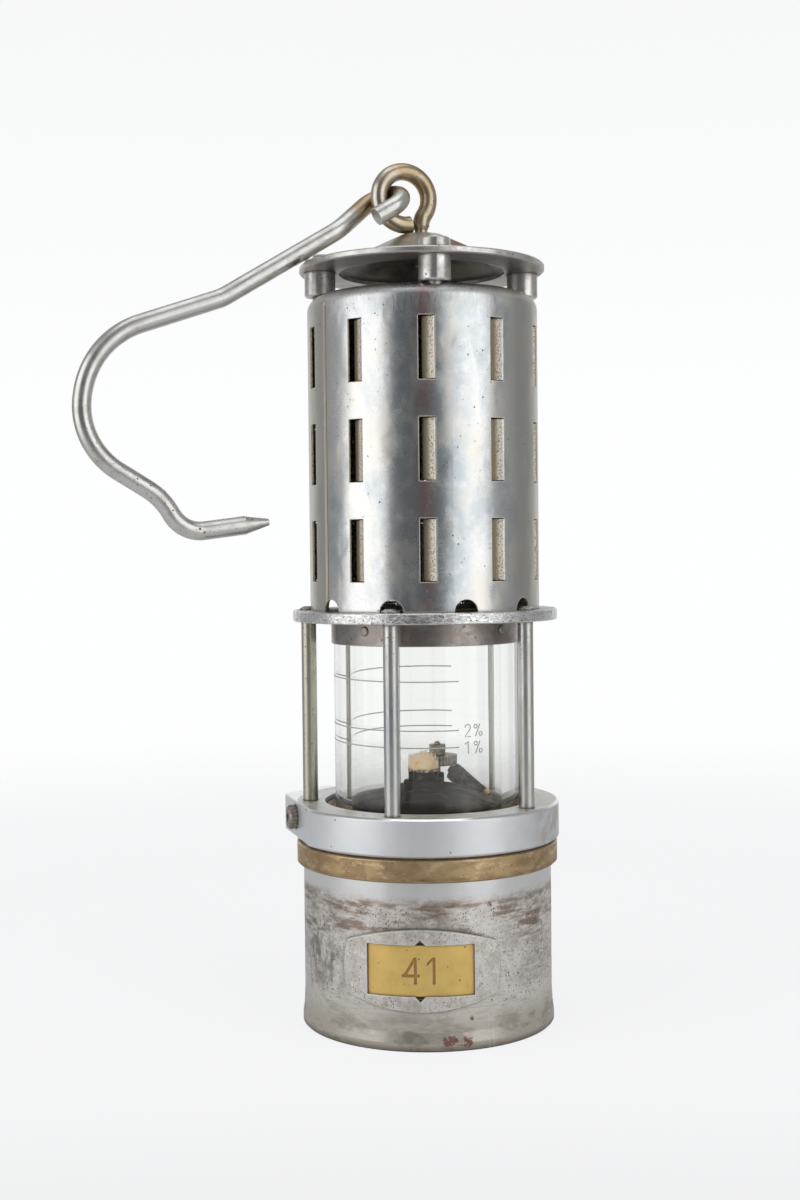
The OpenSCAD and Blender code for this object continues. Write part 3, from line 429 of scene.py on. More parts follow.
def ring_steel():
    """The upper ring, the glass collar and its rivets: dull steel with rust in it and rough cut edges."""
    look = Look("ring_steel", (0.58, 0.57, 0.545), 0.32)
    grain(look, 0.45, 0.006, 0.42)
    look.cloud(7, 0.46, 0.64, (0.36, 0.33, 0.30), 0.6, rough=0.42, stretch=(1, 1, 0.6), detail=5)
    rim = look.both(look.step(look.radius, 42.9, 43.5), look.step(look.z, 132, 132.5))
    chipped = look.noise(1.6, 0.42, 0.6, stretch=(1.4, 1.4, 0.6), detail=5, shift=3)
    look.paint(rim, colour=(0.66, 0.67, 0.66), rough=0.28)
    look.paint(look.both(rim, chipped), colour=(0.88, 0.885, 0.88), rough=0.2, height=0.05)
    scars = look.noise(1.0, 0.58, 0.7, stretch=(1.6, 1.6, 0.7), detail=4, shift=13)
    look.paint(look.both(rim, scars), colour=(0.20, 0.20, 0.19), height=-0.04)
    collar = look.step(look.z, 133, 132.6)
    look.paint(look.both(collar, 0.75), colour=(0.34, 0.32, 0.30), rough=0.3)
    rusty = look.both(look.noise(7, 0.4, 0.6, stretch=(1, 1, 0.7), detail=5, shift=61), collar)
    look.paint(look.both(rusty, 0.5), colour=(0.25, 0.185, 0.15), rough=0.4)
    speckle(look, 0.6, 0.5, (0.20, 0.11, 0.07), look.both(collar, look.step(look.azimuth, 5, 25)), 0.04)
    speckle(look, 0.9, 0.2, (0.14, 0.12, 0.10), 1.0, 0.05, shift=8)
    # Painted shade in crevices, standing also for dirt, then painted highlights on sharp edges, standing
    # also for edge wear.
    look.paint(look.both(look.nooks(1.0), 0.7), colour=(0.10, 0.08, 0.06), rough=0.6, metallic=0.6)
    look.paint(look.both(look.edges(0.3), 0.7), colour=(0.90, 0.90, 0.88), rough=0.2)
    return look.finish(0.3)


def rod_steel():
    """The pillars: drawn rods, browned and speckled on the lamp's left, bluer at the front."""
    look = Look("rod_steel", (0.63, 0.63, 0.60), 0.27)
    grain(look, 0.35, 0.004, 0.38)
    look.paint(look.noise(0.35, 0.4, 0.6, stretch=(1, 1, 20), detail=2), height=0.003)
    look.cloud(5, 0.45, 0.66, (0.48, 0.47, 0.43), 0.5, rough=0.36, stretch=(1, 1, 3), detail=5)
    left = look.step(look.x, -22, -30)
    look.paint(look.both(left, 0.7), colour=(0.52, 0.475, 0.385), rough=0.34)
    speckle(look, 0.55, 0.5, (0.15, 0.095, 0.045), look.both(left, look.noise(4, 0.4, 0.6, shift=5)), 0.04)
    front = look.both(look.step(look.y, -30, -36), look.step(look.z, 118, 104), look.step(look.z, 78, 92))
    look.cloud(6, 0.3, 0.6, (0.40, 0.47, 0.53), 0.6, where=front, stretch=(1, 1, 3), shift=9)
    speckle(look, 0.6, 0.4, (0.16, 0.14, 0.11), look.step(look.z, 116, 126), 0.05, shift=21)
    back = look.step(look.y, 5, 15)
    look.paint(look.both(back, 0.5), colour=(0.42, 0.40, 0.32), rough=0.4)
    # Painted shade in crevices, standing also for dirt.
    look.paint(look.both(look.nooks(1.2), 0.8), colour=(0.13, 0.09, 0.05), rough=0.6, metallic=0.5)
    return look.finish(0.2)


def lock_steel():
    """The lock screw: dark, knurled and pitted."""
    look = Look("lock_steel", (0.36, 0.32, 0.28), 0.42)
    grain(look, 0.4, 0.012, 0.55)
    look.cloud(1.6, 0.48, 0.62, (0.58, 0.54, 0.49), 0.8, rough=0.34, detail=4)
    speckle(look, 0.6, 0.5, (0.09, 0.07, 0.05), 1.0, 0.07)
    # Painted shade in crevices, standing also for dirt.
    look.paint(look.both(look.nooks(0.8), 0.9), colour=CREVICE_SHADE_AND_DIRT, rough=0.7, metallic=0.3)
    return look.finish(0.2)


def hook_wire():
    """The hook: satin drawn wire, browned behind the eye and pitted towards the tip."""
    look = Look("hook_wire", (0.70, 0.70, 0.675), 0.27)
    grain(look, 0.4, 0.003, 0.36)
    look.cloud(6, 0.48, 0.66, (0.50, 0.48, 0.43), 0.5, rough=0.36, detail=5)
    tip = look.step(look.z, 218, 180)
    pitted = look.either(look.both(tip, 0.9), look.both(look.noise(10, 0.55, 0.7, shift=3), 0.5))
    speckle(look, 0.6, 0.4, (0.20, 0.13, 0.07), look.both(pitted, look.noise(3, 0.42, 0.6, shift=17)), 0.04)
    speckle(look, 1.3, 0.2, (0.34, 0.23, 0.11), look.step(look.z, 196, 176), 0.02, shift=9)
    eye = look.both(look.step(look.x, -33, -22), look.step(look.y, -9.5, -5.5))
    look.paint(look.both(eye, 0.85), colour=(0.42, 0.295, 0.155), rough=0.34)
    # Painted shade in crevices, standing also for dirt, then painted highlights on sharp edges, standing
    # also for edge wear.
    look.paint(look.both(look.nooks(1.5), 0.75), colour=(0.16, 0.105, 0.05), rough=0.55, metallic=0.6)
    look.paint(look.both(look.edges(0.3), 0.6), colour=(0.88, 0.87, 0.83), rough=0.22)
    return look.finish(0.2)


def eye_wire():
    """The eyebolt: steel under a golden brown patina."""
    look = Look("eye_wire", (0.60, 0.54, 0.43), 0.27)
    grain(look, 0.4, 0.006, 0.38)
    gold = look.noise(7, 0.38, 0.62, detail=4, warp=0.4)
    look.paint(look.both(gold, 0.8), colour=(0.48, 0.355, 0.20), rough=0.32)
    outer = look.step(look.x, -9, -15)
    look.paint(look.both(outer, 0.6), colour=(0.66, 0.65, 0.62), rough=0.25)
    inner = look.both(look.step(look.x, -6, 2), look.noise(3, 0.4, 0.6))
    speckle(look, 0.6, 0.45, (0.20, 0.12, 0.05), inner, 0.05)
    # Painted shade in crevices, standing also for dirt.
    look.paint(look.both(look.nooks(1.5), 0.8), colour=(0.13, 0.08, 0.035), rough=0.55, metallic=0.6)
    return look.finish(0.2)


def aged_brass():
    """The neck ring and the tank's top: brown bronze patina, rubbed brighter in places."""
    look = Look("aged_brass", (0.56, 0.41, 0.225), 0.36)
    grain(look, 0.4, 0.005, 0.44)
    brown = look.noise(6, 0.38, 0.62, stretch=(1.3, 1.3, 0.9), detail=6, warp=0.4)
    look.paint(look.both(brown, 0.75), colour=(0.36, 0.235, 0.135), rough=0.42)
    bright = look.noise(4, 0.52, 0.68, stretch=(1.5, 1.5, 0.7), detail=6, shift=6)
    look.paint(look.both(bright, 0.8), colour=(0.76, 0.60, 0.37), rough=0.28)
    copper = look.noise(10, 0.5, 0.68, detail=4, shift=14)
    look.paint(look.both(copper, 0.45), colour=(0.50, 0.29, 0.165), rough=0.36)
    low = look.step(look.z, 55, 53.4)
    look.cloud(3, 0.3, 0.6, (0.20, 0.125, 0.07), 0.6, rough=0.45, where=low, stretch=(2, 2, 0.6), detail=5,
               shift=41)
    speckle(look, 0.7, 0.3, (0.10, 0.065, 0.04), look.noise(5, 0.4, 0.6, shift=3), 0.05)
    # Painted shade in crevices, standing also for dirt, then painted highlights on sharp edges, standing
    # also for edge wear.
    look.paint(look.both(look.nooks(1.0), 0.8), colour=(0.06, 0.04, 0.025), rough=0.65, metallic=0.5)
    look.paint(look.both(look.edges(0.4), 0.8), colour=(0.86, 0.70, 0.45), rough=0.22)
    return look.finish(0.35)


def plate_brass():
    """The number plate: bright yellow brass, with a painted shadow where it passes behind the frame and
    painted shade in the engraving.
    """
    look = Look("plate_brass", (0.97, 0.69, 0.23), 0.32, metallic=0.8)
    grain(look, 0.35, 0.004, 0.34)
    look.paint(look.noise(0.3, 0.35, 0.65, stretch=(1, 1, 12), detail=2), height=0.003, rough=0.34)
    look.paint(look.noise(9, 0.3, 0.7, detail=1, shift=6), height=0.12)
    look.cloud(6, 0.42, 0.66, (0.80, 0.56, 0.18), 0.55, rough=0.38, detail=5)
    ends = look.either(look.step(look.x, -14, -18.5), look.step(look.x, 10, 14))
    look.paint(look.both(ends, 0.7), colour=(0.90, 0.62, 0.22), rough=0.22)
    speckle(look, 0.9, 0.22, (0.20, 0.11, 0.03), look.noise(4, 0.45, 0.6, shift=2), 0.05)
    cut = look.step(look.radius, 41.62, 41.5)
    look.paint(look.both(cut, 0.85), colour=(0.60, 0.25, 0.045), rough=0.45)
    low, high = node_box("number_plate")
    # Painted shadow: a dark strip about a millimetre wide along the plate's edges, where the frame shades
    # it.
    for value, bottom, top in ((look.z, low[2], high[2]), (look.x, low[0], high[0] + 0.1)):
        below = look.step(value, bottom + 1.3, bottom + 0.9)
        above = look.step(value, top - 1.3, top - 0.9)
        look.paint(look.either(below, above), colour=(0.03, 0.024, 0.018), rough=0.7, metallic=0.3)
    # Painted shade in the engraving, standing also for dirt, then painted highlights on sharp edges,
    # standing also for edge wear.
    look.paint(look.both(look.nooks(1.5), 0.8), colour=(0.10, 0.06, 0.02), rough=0.5)
    look.paint(look.both(look.edges(0.3), 0.9), colour=(0.98, 0.84, 0.52), rough=0.3, metallic=0.5)
    return look.finish(0.2)


def brass(name, colour, deep, rough):
    """Brass or bronze of the works, with tarnish in cloudy patches, bright edges that are partly wear and
    partly painted highlight, and painted shade in its crevices.
    """
    look = Look(name, colour, rough)
    grain(look, 0.4, 0.006, rough + 0.12)
    look.cloud(4, 0.42, 0.64, deep, 0.75, rough=rough + 0.12, detail=5)
    speckle(look, 0.8, 0.3, tuple(c * 0.3 for c in deep), 1.0, 0.05)
    # Painted shade for crevices, standing also for dirt.
    shade_and_dirt = tuple(c * 0.2 for c in deep)
    look.paint(look.both(look.nooks(0.8), 0.8), colour=shade_and_dirt, rough=0.65, metallic=0.5)
    # Painted highlights on sharp edges, standing also for edge wear.
    wear_and_highlight = tuple(min(c * 1.5, 0.9) for c in colour)
    look.paint(look.both(look.edges(0.25), 0.6), colour=wear_and_highlight, rough=rough - 0.05)
    return look.finish(0.2)


def works_brass():
    return brass("works_brass", (0.58, 0.43, 0.20), (0.32, 0.21, 0.09), 0.32)


def seat_bronze():
    return brass("seat_bronze", (0.36, 0.29, 0.21), (0.21, 0.155, 0.10), 0.42)


def dark_bronze():
    """The burner: bronze under soot, rubbed through on its high places."""
    look = Look("dark_bronze", (0.035, 0.029, 0.024), 0.65, metallic=0.1)
    grain(look, 0.4, 0.01, 0.56)
    look.cloud(5, 0.4, 0.62, (0.014, 0.012, 0.011), 0.8, rough=0.75, detail=5)
    rubbed = look.noise(4, 0.56, 0.7, detail=5, shift=12)
    look.paint(look.both(rubbed, 0.55), colour=(0.24, 0.165, 0.085), rough=0.4, metallic=0.9)
    # Lighter in patches on the +X side.
    lighter_right_side = look.both(look.step(look.x, 8, 12), look.noise(3.5, 0.35, 0.6, detail=5, shift=17))
    look.paint(look.both(lighter_right_side, 0.4), colour=(0.36, 0.31, 0.24), rough=0.36)
    speckle(look, 0.8, 0.3, (0.03, 0.025, 0.02), 1.0, 0.05)
    # Painted highlights on sharp edges, standing also for edge wear.
    look.paint(look.both(look.edges(0.3), 0.45), colour=(0.36, 0.27, 0.15), rough=0.34)
    return look.finish(0.25, Specular_IOR_Level=0.2)


def steel(name, colour, deep, rough):
    """Plain steel of the works, darkened in patches."""
    look = Look(name, colour, rough)
    grain(look, 0.35, 0.006, rough + 0.12)
    look.cloud(2.5, 0.45, 0.64, deep, 0.7, rough=rough + 0.12, detail=5)
    speckle(look, 0.6, 0.3, tuple(c * 0.3 for c in deep), 1.0, 0.04)
    # Painted shade in crevices, standing also for dirt.
    look.paint(look.both(look.nooks(0.6), 0.8), colour=CREVICE_SHADE_AND_DIRT, rough=0.7, metallic=0.4)
    return look.finish(0.12)


def works_steel():
    return steel("works_steel", (0.50, 0.48, 0.44), (0.25, 0.205, 0.16), 0.34)


def wheel_steel():
    return steel("wheel_steel", (0.34, 0.31, 0.27), (0.13, 0.10, 0.075), 0.4)


def gauze_wire():
    return steel("gauze_wire", (0.42, 0.40, 0.36), (0.17, 0.14, 0.11), 0.38)


# ---- Other materials ----


def flint():
    """Ferrocerium: dark grey, rough and dull."""
    look = Look("flint", (0.12, 0.115, 0.11), 0.6, metallic=0.5)
    grain(look, 0.3, 0.03, 0.75)
    look.cloud(0.8, 0.5, 0.65, (0.22, 0.20, 0.18), detail=4)
    return look.finish(0.1)


def gasket():
    """Pressed fibre, stained by fuel, with flecks in it."""
    look = Look("gasket", (0.10, 0.07, 0.05), 0.8, metallic=0.0)
    look.cloud(0.6, 0.35, 0.65, (0.19, 0.135, 0.09), height=0.05, stretch=(2, 1, 0.6), detail=4)
    look.cloud(5, 0.45, 0.65, (0.045, 0.035, 0.03), rough=0.65, detail=4, shift=8)
    look.paint(look.spots(0.9, 0.3), colour=(0.30, 0.22, 0.14))
    return look.finish()


def wick_cotton():
    """Cotton yarn, cream to tan, browned in places and charred at its lower rim; it glows faintly, painted
    light that lifts it out of the shade under the cap.
    """
    look = Look("wick_cotton", (0.95, 0.79, 0.54), 0.9, metallic=0.0)
    look.cloud(1.2, 0.4, 0.65, (0.97, 0.89, 0.72), detail=4)
    look.cloud(1.8, 0.54, 0.68, (0.66, 0.40, 0.18), 0.6, detail=4, shift=5)
    right = look.both(look.step(look.x, -0.5, 3.0), look.noise(1.5, 0.35, 0.6, detail=3, shift=2))
    look.paint(look.both(right, 0.55), colour=(0.68, 0.44, 0.22))
    rim = look.both(look.step(look.z, 83.9, 82.9), look.noise(1.3, 0.38, 0.56, detail=3, shift=9))
    look.paint(rim, colour=(0.07, 0.045, 0.03))
    # Painted light: the wick glows faintly in its own colour.
    return look.finish(Sheen_Weight=0.4, Emission_Color=look.colour, Emission_Strength=0.2)


def packing_cotton():
    """Raw cotton wadding, yellowed by fuel."""
    look = Look("packing_cotton", (0.74, 0.69, 0.56), 0.95, metallic=0.0)
    look.cloud(6, 0.4, 0.65, (0.60, 0.50, 0.33), detail=5, warp=0.6)
    look.paint(look.noise(0.7, 0.35, 0.65, stretch=(3, 1, 1), detail=4, warp=1.0), height=0.25)
    return look.finish(Sheen_Weight=0.5)


def clear_glass():
    """Thick clear glass, faintly green, smeared in places. Light for the inside passes it straight."""
    look = Look("lamp_glass", (0.98, 0.984, 0.977), 0.0, metallic=0.0)
    smear = look.noise(14, 0.5, 0.75, stretch=(1, 1, 1.6), detail=5)
    look.paint(smear, rough=0.035)
    look.paint(look.noise(9, 0.3, 0.7, stretch=(1, 1, 3), detail=1), height=0.004)
    glass = look.add("BsdfGlass", {"Color": look.colour, "Roughness": look.rough, "IOR": 1.5,
                                   "Normal": look.normal()}).outputs[0]
    clear = look.add("BsdfTransparent", {"Color": (0.95, 0.957, 0.948, 1)}).outputs[0]
    path = look.add("LightPath").outputs
    straight = look.calc("MAXIMUM", path["Is Shadow Ray"], path["Is Diffuse Ray"])
    return look.surface(look.add("MixShader", {0: straight, 1: glass, 2: clear}).outputs[0])


def etched():
    """The frosted lines and marks cut in the glass."""
    look = Look("etched_marks", (0.70, 0.70, 0.64), 0.8, metallic=0.0)
    frost = look.noise(0.35, 0.3, 0.7, detail=3)
    look.paint(frost, colour=(0.82, 0.82, 0.76))
    solid = look.add("BsdfDiffuse", {"Color": look.colour}).outputs[0]
    through = look.add("BsdfTransparent", {"Color": (0.8, 0.8, 0.76, 1)}).outputs[0]
    cover = look.calc("MULTIPLY_ADD", frost, 0.3)
    cover.node.inputs[2].default_value = 0.55
    return look.surface(look.add("MixShader", {0: cover, 1: through, 2: solid}).outputs[0])


LOOKS = {
    "plated_steel": plated_steel, "frame_steel": frame_steel, "satin_ring": satin_ring,
    "bonnet_steel": bonnet_steel, "cap_steel": cap_steel, "ring_steel": ring_steel, "rod_steel": rod_steel,
    "lock_steel": lock_steel, "hook_wire": hook_wire, "eye_wire": eye_wire, "aged_brass": aged_brass,
    "plate_brass": plate_brass, "works_brass": works_brass, "dark_bronze": dark_bronze,
    "seat_bronze": seat_bronze, "works_steel": works_steel, "wheel_steel": wheel_steel, "flint": flint,
    "gauze_wire": gauze_wire, "lamp_glass": clear_glass, "gasket": gasket, "wick_cotton": wick_cotton,
    "packing_cotton": packing_cotton,
}


def finish_nodes():
    """Gives every CAD node the look of its material slot and returns the materials by slot."""
    made = {slot: look() for slot, look in LOOKS.items()}
    for part in frame["record"]["subparts"]:
        mesh = frame["nodes"][part["node"]].data
        mesh.materials.clear()
        mesh.materials.append(made[part["material_slot"]])
    return made


# ---- Meshes ----


def make_piece(name, shells, material, body, stands_for=()):
    """One piece from shells of (points in mm, faces), riding on a body."""
    points = []
    faces = []
    for corners, sides in shells:
        offset = sum(len(p) for p in points)
        points.append(np.asarray(corners).reshape(-1, 3))
        faces.extend(tuple(offset + i for i in side) for side in sides)
    mesh = bpy.data.meshes.new(name)
    mesh.from_pydata((np.concatenate(points) * MM).tolist(), [], faces)
    mesh.polygons.foreach_set("use_smooth", [True] * len(mesh.polygons))
    mesh.materials.append(material)
    piece = bpy.data.objects.new(name, mesh)
    bpy.context.scene.collection.objects.link(piece)
    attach(piece, body)
    if stands_for:
        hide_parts(*stands_for)


def unit(v):
    return v / np.linalg.norm(v, axis=-1, keepdims=True)


def sweep(paths, outward, section, closed):
    """A section of (out, side) pairs carried along each of several paths, as one shell with closed ends."""
    paths = np.asarray(paths, float)
    count, steps = paths.shape[:2]
    if closed:
        along = np.roll(paths, -1, axis=1) - np.roll(paths, 1, axis=1)
    else:
        along = np.gradient(paths, axis=1)
    side = unit(np.cross(along, outward))
    up = unit(np.cross(side, along))
    corners = np.stack([paths + out * up + across * side for out, across in section], axis=2)
    n = len(section)
    start = np.arange(count).reshape(-1, 1, 1) * steps * n
    here = np.arange(steps if closed else steps - 1).reshape(1, -1, 1)
    turn = np.arange(n).reshape(1, 1, -1)
    after = (here + 1) % steps
    beside = (turn + 1) % n
    quads = np.stack(np.broadcast_arrays(start + here * n + turn, start + here * n + beside,
                                         start + after * n + beside, start + after * n + turn), axis=-1)
    faces = quads.reshape(-1, 4).tolist()
    if not closed:
        for first in range(0, count * steps * n, steps * n):
            last = first + (steps - 1) * n
            faces.append([first + i for i in reversed(range(n))])
            faces.append([last + i for i in range(n)])
    return corners, faces


def round_section(radius, sides):
    turns = np.arange(sides) * 2 * math.pi / sides
    return [(radius * math.cos(t), radius * math.sin(t)) for t in turns]


GAUZE_PITCH = 0.98
GAUZE_WIRE = 0.16
GAUZE_WAVE = 0.15


def woven_tube(radius, z_low, z_high):
    """Upright wires and rings, each passing over and under the others."""
    around = 2 * round(math.pi * radius / GAUZE_PITCH)
    rows = round((z_high - z_low) / GAUZE_PITCH) + 1
    azimuth = np.arange(around).reshape(-1, 1) * 360 / around
    z = np.linspace(z_low, z_high, rows).reshape(1, -1)
    parity = (-1.0) ** (np.arange(around).reshape(-1, 1) + np.arange(rows).reshape(1, -1))
    outward = on_axis(azimuth, 1.0, 0 * z)
    section = round_section(GAUZE_WIRE, 3)
    uprights = sweep(on_axis(azimuth, radius + GAUZE_WAVE * parity, z), outward, section, False)
    rings = on_axis(azimuth, radius - GAUZE_WAVE * parity, z).transpose(1, 0, 2)
    return [uprights, sweep(rings, outward.transpose(1, 0, 2), section, True)]


def woven_disc(radius, z):
    """Straight wires both ways across a round top."""
    reach = int(radius / GAUZE_PITCH)
    section = round_section(GAUZE_WIRE, 3)
    shells = []
    for j in range(-reach, reach + 1):
        half = math.sqrt(radius ** 2 - (j * GAUZE_PITCH) ** 2)
        inner = np.arange(-int(half / GAUZE_PITCH), int(half / GAUZE_PITCH) + 1)
        wave = GAUZE_WAVE * (-1.0) ** (inner + j)
        along = np.concatenate([[-half], inner * GAUZE_PITCH, [half]])
        lift = np.concatenate([[0], wave, [0]])
        across = np.full(len(along), j * GAUZE_PITCH)
        shells.append(sweep([np.stack([along, across, z + lift], axis=-1)], (0, 0, 1), section, False))
        shells.append(sweep([np.stack([across, along, z - lift], axis=-1)], (0, 0, 1), section, False))
    return shells


def gauze(node, material):
    """A closed-top woven cylinder in the place of the node's sheet."""
    low, high = node_box(node)
    sheet = 0.3
    radius = high[0] - sheet
    shells = woven_tube(radius, low[2] + GAUZE_WIRE, high[2] - 2 * sheet)
    shells += woven_disc(radius, high[2] - sheet)
    make_piece(node + "_woven", shells, material, "upper", [node])


def wick(material):
    """Twisted strands up the tube, with a fluffy tuft of frayed fibres over its rim."""
    low, high = node_box("wick")
    centre = (low + high) / 2
    reach = (high[0] - low[0]) / 2
    rim = node_box("wick_tube")[1][2]
    random = np.random.default_rng(SEED)
    shells = []

    strands = 9
    strand = 1.15
    twist = 22.0
    z = np.linspace(low[2], rim + 0.6, 60)
    for k in range(strands):
        azimuth = k * 360 / strands + z / twist * 360
        path = on_axis(azimuth, reach - strand - 0.1, z) + (centre[0], centre[1], 0)
        shells.append(sweep([path], on_axis(azimuth, 1.0, 0), round_section(strand, 7), False))
    core = np.linspace((centre[0], centre[1], low[2]), (centre[0], centre[1], rim), 9)
    shells.append(sweep([core], (1, 0, 0), round_section(reach - 2 * strand + 0.5, 10), False))

    tuft_radius = 4.5
    tuft_arc = 7.0
    tuft_end = 0.97
    tuft_reach = 5.0  # stays clear of the striker's wheel

    def tuft(azimuth, share):
        """A point on the tuft's dome; share runs from 0 at the rim to 1 at the top."""
        turn = np.radians(azimuth)
        lump = 1 + 0.10 * np.sin(3 * turn + 1) + 0.08 * np.sin(5 * turn + 5 * share)
        out = (reach + 0.15) * np.cos(share * math.pi / 2) ** 0.75 * lump
        up = (high[2] - rim - 1.0) * np.sin(share * math.pi / 2) ** 0.9 * (0.2 + 0.8 * lump)
        return on_axis(azimuth, out, rim + up) + (centre[0], centre[1], 0)

    n = 28
    turns = np.arange(n) * 360 / n
    levels = np.linspace(0, tuft_end, 12)
    rings = np.array([tuft(turns, level) for level in levels])
    skin = [[i * n + j, i * n + (j + 1) % n, (i + 1) * n + (j + 1) % n, (i + 1) * n + j]
            for i in range(len(levels) - 1) for j in range(n)]
    skin.append(list(reversed(range(n))))
    skin.append([(len(levels) - 1) * n + j for j in range(n)])
    shells.append((rings, skin))

    fibres = 1900
    steps = 7
    for _ in range(fibres):
        azimuth = random.uniform(0, 360)
        share = random.uniform(0, 1) ** 1.2
        heading = random.uniform(0, 360)
        length = random.uniform(1.5, 4.2)
        curl = np.cumsum(random.normal(0, 28, steps))
        drift = np.cumsum(np.cos(np.radians(heading + curl))) * length / steps
        climb = np.cumsum(np.sin(np.radians(heading + curl))) * length / steps
        lift = np.linspace(-0.1, min(random.exponential(0.7), 2.2), steps)
        shares = np.clip(share + climb / tuft_arc, 0, tuft_end)
        points = tuft(azimuth + np.degrees(drift / tuft_radius), shares)
        outward = unit(points - (centre[0], centre[1], rim))
        points = points + outward * lift.reshape(-1, 1)
        points[:, 2] = np.maximum(points[:, 2], rim + 0.1)
        away = points[:, :2] - centre[:2]
        too_far = np.maximum(np.linalg.norm(away, axis=1, keepdims=True) / tuft_reach, 1)
        points[:, :2] = centre[:2] + away / too_far
        thick = random.uniform(0.06, 0.13)
        shells.append(sweep([points], outward, round_section(thick, 3), False))
    make_piece("wick_strands", shells, material, "wick_lift", ["wick"])


def wadding(material):
    """The tank's cotton, as a lumpy mass a little inside the space it fills."""
    node = frame["nodes"]["cotton_packing"]
    piece = bpy.data.objects.new("cotton_wadding", node.data.copy())
    piece.matrix_world = node.matrix_world.copy()
    bpy.context.scene.collection.objects.link(piece)
    remesh = piece.modifiers.new("lumps", "REMESH")
    remesh.mode = "VOXEL"
    remesh.voxel_size = 1.1 * MM
    clouds = bpy.data.textures.new("wadding_clouds", "CLOUDS")
    clouds.noise_scale = 6 * MM
    push = piece.modifiers.new("push", "DISPLACE")
    push.texture = clouds
    push.texture_coords = "LOCAL"
    push.mid_level = 1.0
    push.strength = 1.6 * MM
    bpy.context.view_layer.update()
    final = bpy.data.meshes.new_from_object(piece.evaluated_get(bpy.context.evaluated_depsgraph_get()))
    piece.modifiers.clear()
    piece.data = final
    final.materials.clear()
    final.materials.append(material)
    final.polygons.foreach_set("use_smooth", [True] * len(final.polygons))
    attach(piece, "tank")
    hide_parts("cotton_packing")


SCALE_LINES = (114.2, 98.7, 93.3)
SCALE_RUNOUT = 0.6
MARK_HEIGHT = 3.9
DIGITS = {
    "1": [[(0.0, 0.78), (0.28, 1.0), (0.28, 0.0)]],
    "2": [[(0.0, 0.76), (0.06, 0.92), (0.2, 1.0), (0.36, 0.98), (0.48, 0.86), (0.48, 0.7), (0.36, 0.5),
           (0.0, 0.0), (0.52, 0.0)]],
}


def scale_marks(material):
    """Gas-cap lines round the glass, with generic percentages beside the lower two."""
    glass = node_box("lamp_glass")[1][0]
    skin = 0.035
    radius = glass + skin
    thick = 0.02
    wide = 0.2
    section = [(-thick, -wide), (thick, -wide), (thick, wide), (-thick, wide)]
    shells = []

    def stroke(azimuths, heights):
        path = on_axis(np.asarray(azimuths, float), radius, np.asarray(heights, float))
        shells.append(sweep([path], unit(path * (1, 1, 0)), section, False))

    def sign(outline, azimuth, base, size):
        for points in outline:
            stroke([azimuth + math.degrees(x * size / glass) for x, _ in points],
                   [base + y * size for _, y in points])

    def loop(azimuth, z, size):
        turns = np.linspace(0, 2 * math.pi, 13)
        stroke(azimuth + np.degrees(size * np.cos(turns) / glass), z + size * np.sin(turns))

    turn = np.linspace(-200, 20, 111)  # round the back, from one side of the marks to the other
    for z in SCALE_LINES:
        stroke(turn, z + SCALE_RUNOUT * (1 - np.cos(np.radians(turn))))
    for digit, z in (("2", SCALE_LINES[1]), ("1", SCALE_LINES[2])):
        base = z - MARK_HEIGHT * 0.55
        sign(DIGITS[digit], 24.0, base, MARK_HEIGHT)
        sign([[(0.0, 0.0), (0.45, 1.0)]], 31.0, base, MARK_HEIGHT)
        loop(31.2, base + MARK_HEIGHT * 0.82, 0.6)
        loop(34.8, base + MARK_HEIGHT * 0.2, 0.6)
    make_piece("glass_scale", shells, material, "upper")


# ---- Surroundings ----


def mix_by(look, factor, a, b):
    """A where the factor is 0 and B where it is 1."""
    return look.add("MixShader", {0: factor, 1: a, 2: b}).outputs[0]


def floor():
    """A pale floor that fades into the backdrop behind the lamp."""
    look = Look("floor", (0.86, 0.86, 0.86), 0.9, metallic=0.0)
    near = look.step(look.radius, 900, 260)
    dim = look.step(look.y, -60, -190)
    path = look.add("LightPath").outputs
    lit = look.add("BsdfDiffuse", {"Color": look.colour}).outputs[0]
    level = look.add("Mix", {0: dim, 2: 0.815, 3: 0.76}).outputs[0]
    glow = look.add("Emission", {"Color": (0.985, 0.99, 1.0, 1.0), "Strength": level}).outputs[0]
    shade = look.add("BsdfDiffuse", {"Color": (0.18, 0.18, 0.18, 1.0)}).outputs[0]
    seen = look.add("AddShader", {0: glow, 1: shade}).outputs[0]
    solid = mix_by(look, path["Is Camera Ray"], lit, seen)
    clear = look.add("BsdfTransparent", {"Color": (1, 1, 1, 1)}).outputs[0]
    look.surface(mix_by(look, near, clear, solid))
    mesh = bpy.data.meshes.new("floor")
    mesh.from_pydata([(x, y, 0) for x, y in ((-2, -2), (2, -2), (2, 2), (-2, 2))], [], [(0, 1, 2, 3)])
    mesh.materials.append(look.material)
    plane = bpy.data.objects.new("floor", mesh)
    bpy.context.scene.collection.objects.link(plane)


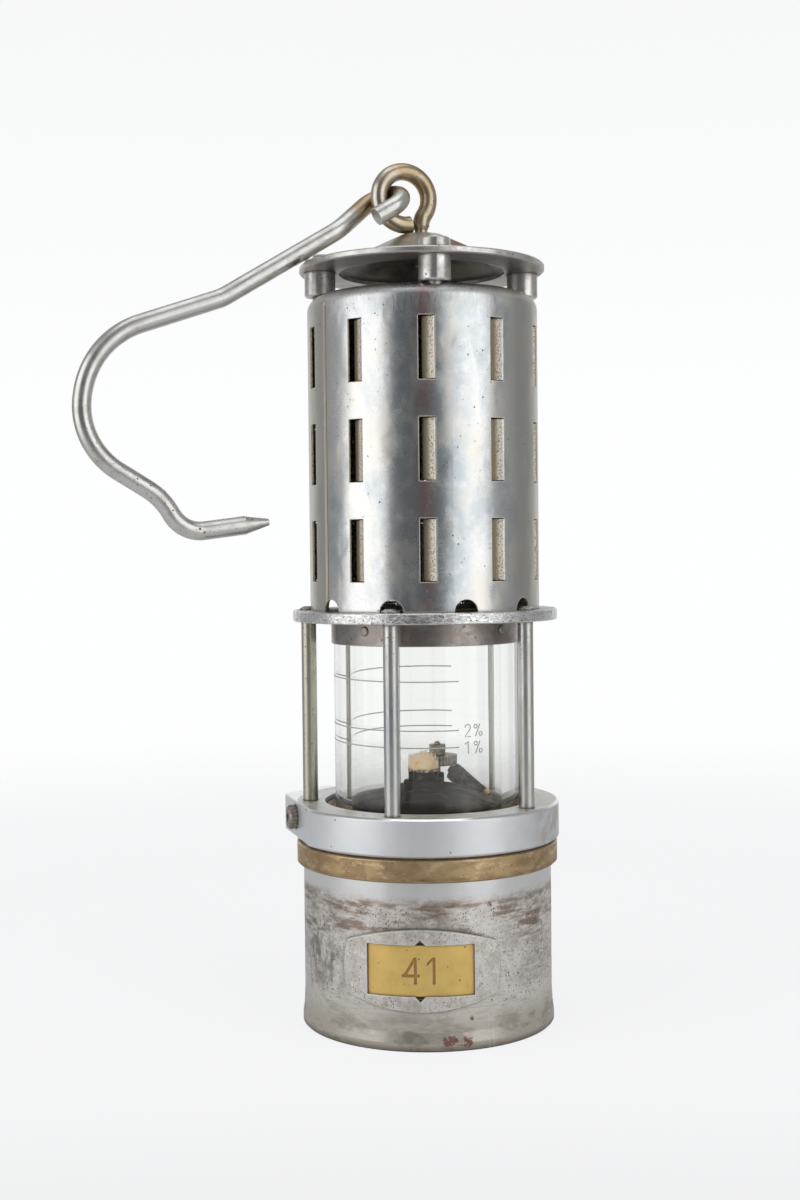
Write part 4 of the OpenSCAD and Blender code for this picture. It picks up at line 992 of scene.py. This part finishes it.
def surroundings():
    """A white backdrop for the camera; for reflections a dark room in front and the backdrop behind."""
    world = bpy.data.worlds.new("studio")
    bpy.context.scene.world = world
    world.use_nodes = True
    look = Look.__new__(Look)
    look.tree = world.node_tree
    look.tree.nodes.clear()
    along = look.add("SeparateXYZ", {0: look.add("TexCoord").outputs["Generated"]}).outputs
    path = look.add("LightPath").outputs
    seen = look.calc("MAXIMUM", path["Is Camera Ray"], path["Is Transmission Ray"])
    front = look.calc("MULTIPLY", along[1], -1.0)
    room = look.add("Mix", {0: look.step(front, -0.95, -0.6), 2: 0.85, 3: 0.32}).outputs[0]
    room = look.add("Mix", {0: look.step(front, 0.5, 0.95), 2: room, 3: 0.12}).outputs[0]
    backdrop = look.add("Mix", {0: look.step(along[2], 0.04, 0.33), 2: 1.0, 3: 0.945}).outputs[0]
    level = look.add("Mix", {0: seen, 2: room, 3: backdrop}).outputs[0]
    background = look.add("Background", {"Color": (0.99, 0.994, 1.0, 1.0), "Strength": level})
    output = look.add("OutputWorld")
    look.tree.links.new(background.outputs[0], output.inputs["Surface"])


def softbox(name, azimuth, distance, height, size, radiance):
    """A rectangular light, placed in metres, that faces the middle of the lamp."""
    lamp = bpy.data.lights.new(name, "AREA")
    lamp.shape = "RECTANGLE"
    lamp.size, lamp.size_y = size
    lamp.energy = radiance * math.pi * size[0] * size[1]
    light = bpy.data.objects.new(name, lamp)
    light.location = on_axis(azimuth, distance, height)
    middle = Vector((0, 0, 0.13))
    light.rotation_euler = (light.location - middle).to_track_quat("Z", "Y").to_euler()
    light.visible_camera = False
    light.visible_transmission = False
    bpy.context.scene.collection.objects.link(light)


def camera():
    """In front of the bonnet, looking very slightly down, as fitted to the round edges in the photo."""
    yaw, pitch, roll = (math.radians(a) for a in (-0.868, 1.677, 0.584))
    eye = Vector((0, -0.54346, 0.15525))
    right = Vector((math.cos(yaw), -math.sin(yaw), 0))
    ahead = Vector((math.sin(yaw), math.cos(yaw), 0))
    up = Vector((0, 0, 1))
    forward = math.cos(pitch) * ahead - math.sin(pitch) * up
    above = math.sin(pitch) * ahead + math.cos(pitch) * up
    across = math.cos(roll) * right - math.sin(roll) * above
    upright = math.sin(roll) * right + math.cos(roll) * above
    turn = Matrix((across, upright, -forward)).transposed().to_4x4()
    view = bpy.data.objects.new("camera", bpy.data.cameras.new("camera"))
    view.data.lens = 48.95
    view.data.sensor_width = 36
    view.data.clip_start = 0.01
    view.matrix_world = Matrix.Translation(eye) @ turn
    bpy.context.scene.collection.objects.link(view)
    bpy.context.scene.camera = view


materials = finish_nodes()
for sheet in ("inner_gauze", "outer_gauze", "gauze_cap"):
    gauze(sheet, materials["gauze_wire"])
wick(materials["wick_cotton"])
wadding(materials["packing_cotton"])
scale_marks(etched())

floor()
surroundings()
softbox("left", -60, 1.0, 0.35, (0.9, 1.2), 1.12)
softbox("right", 45, 1.0, 0.35, (0.8, 1.2), 1.12)
softbox("top", 0, 0.15, 1.3, (0.9, 0.9), 1.0)
camera()
bpy.context.scene.view_settings.view_transform = "Standard"
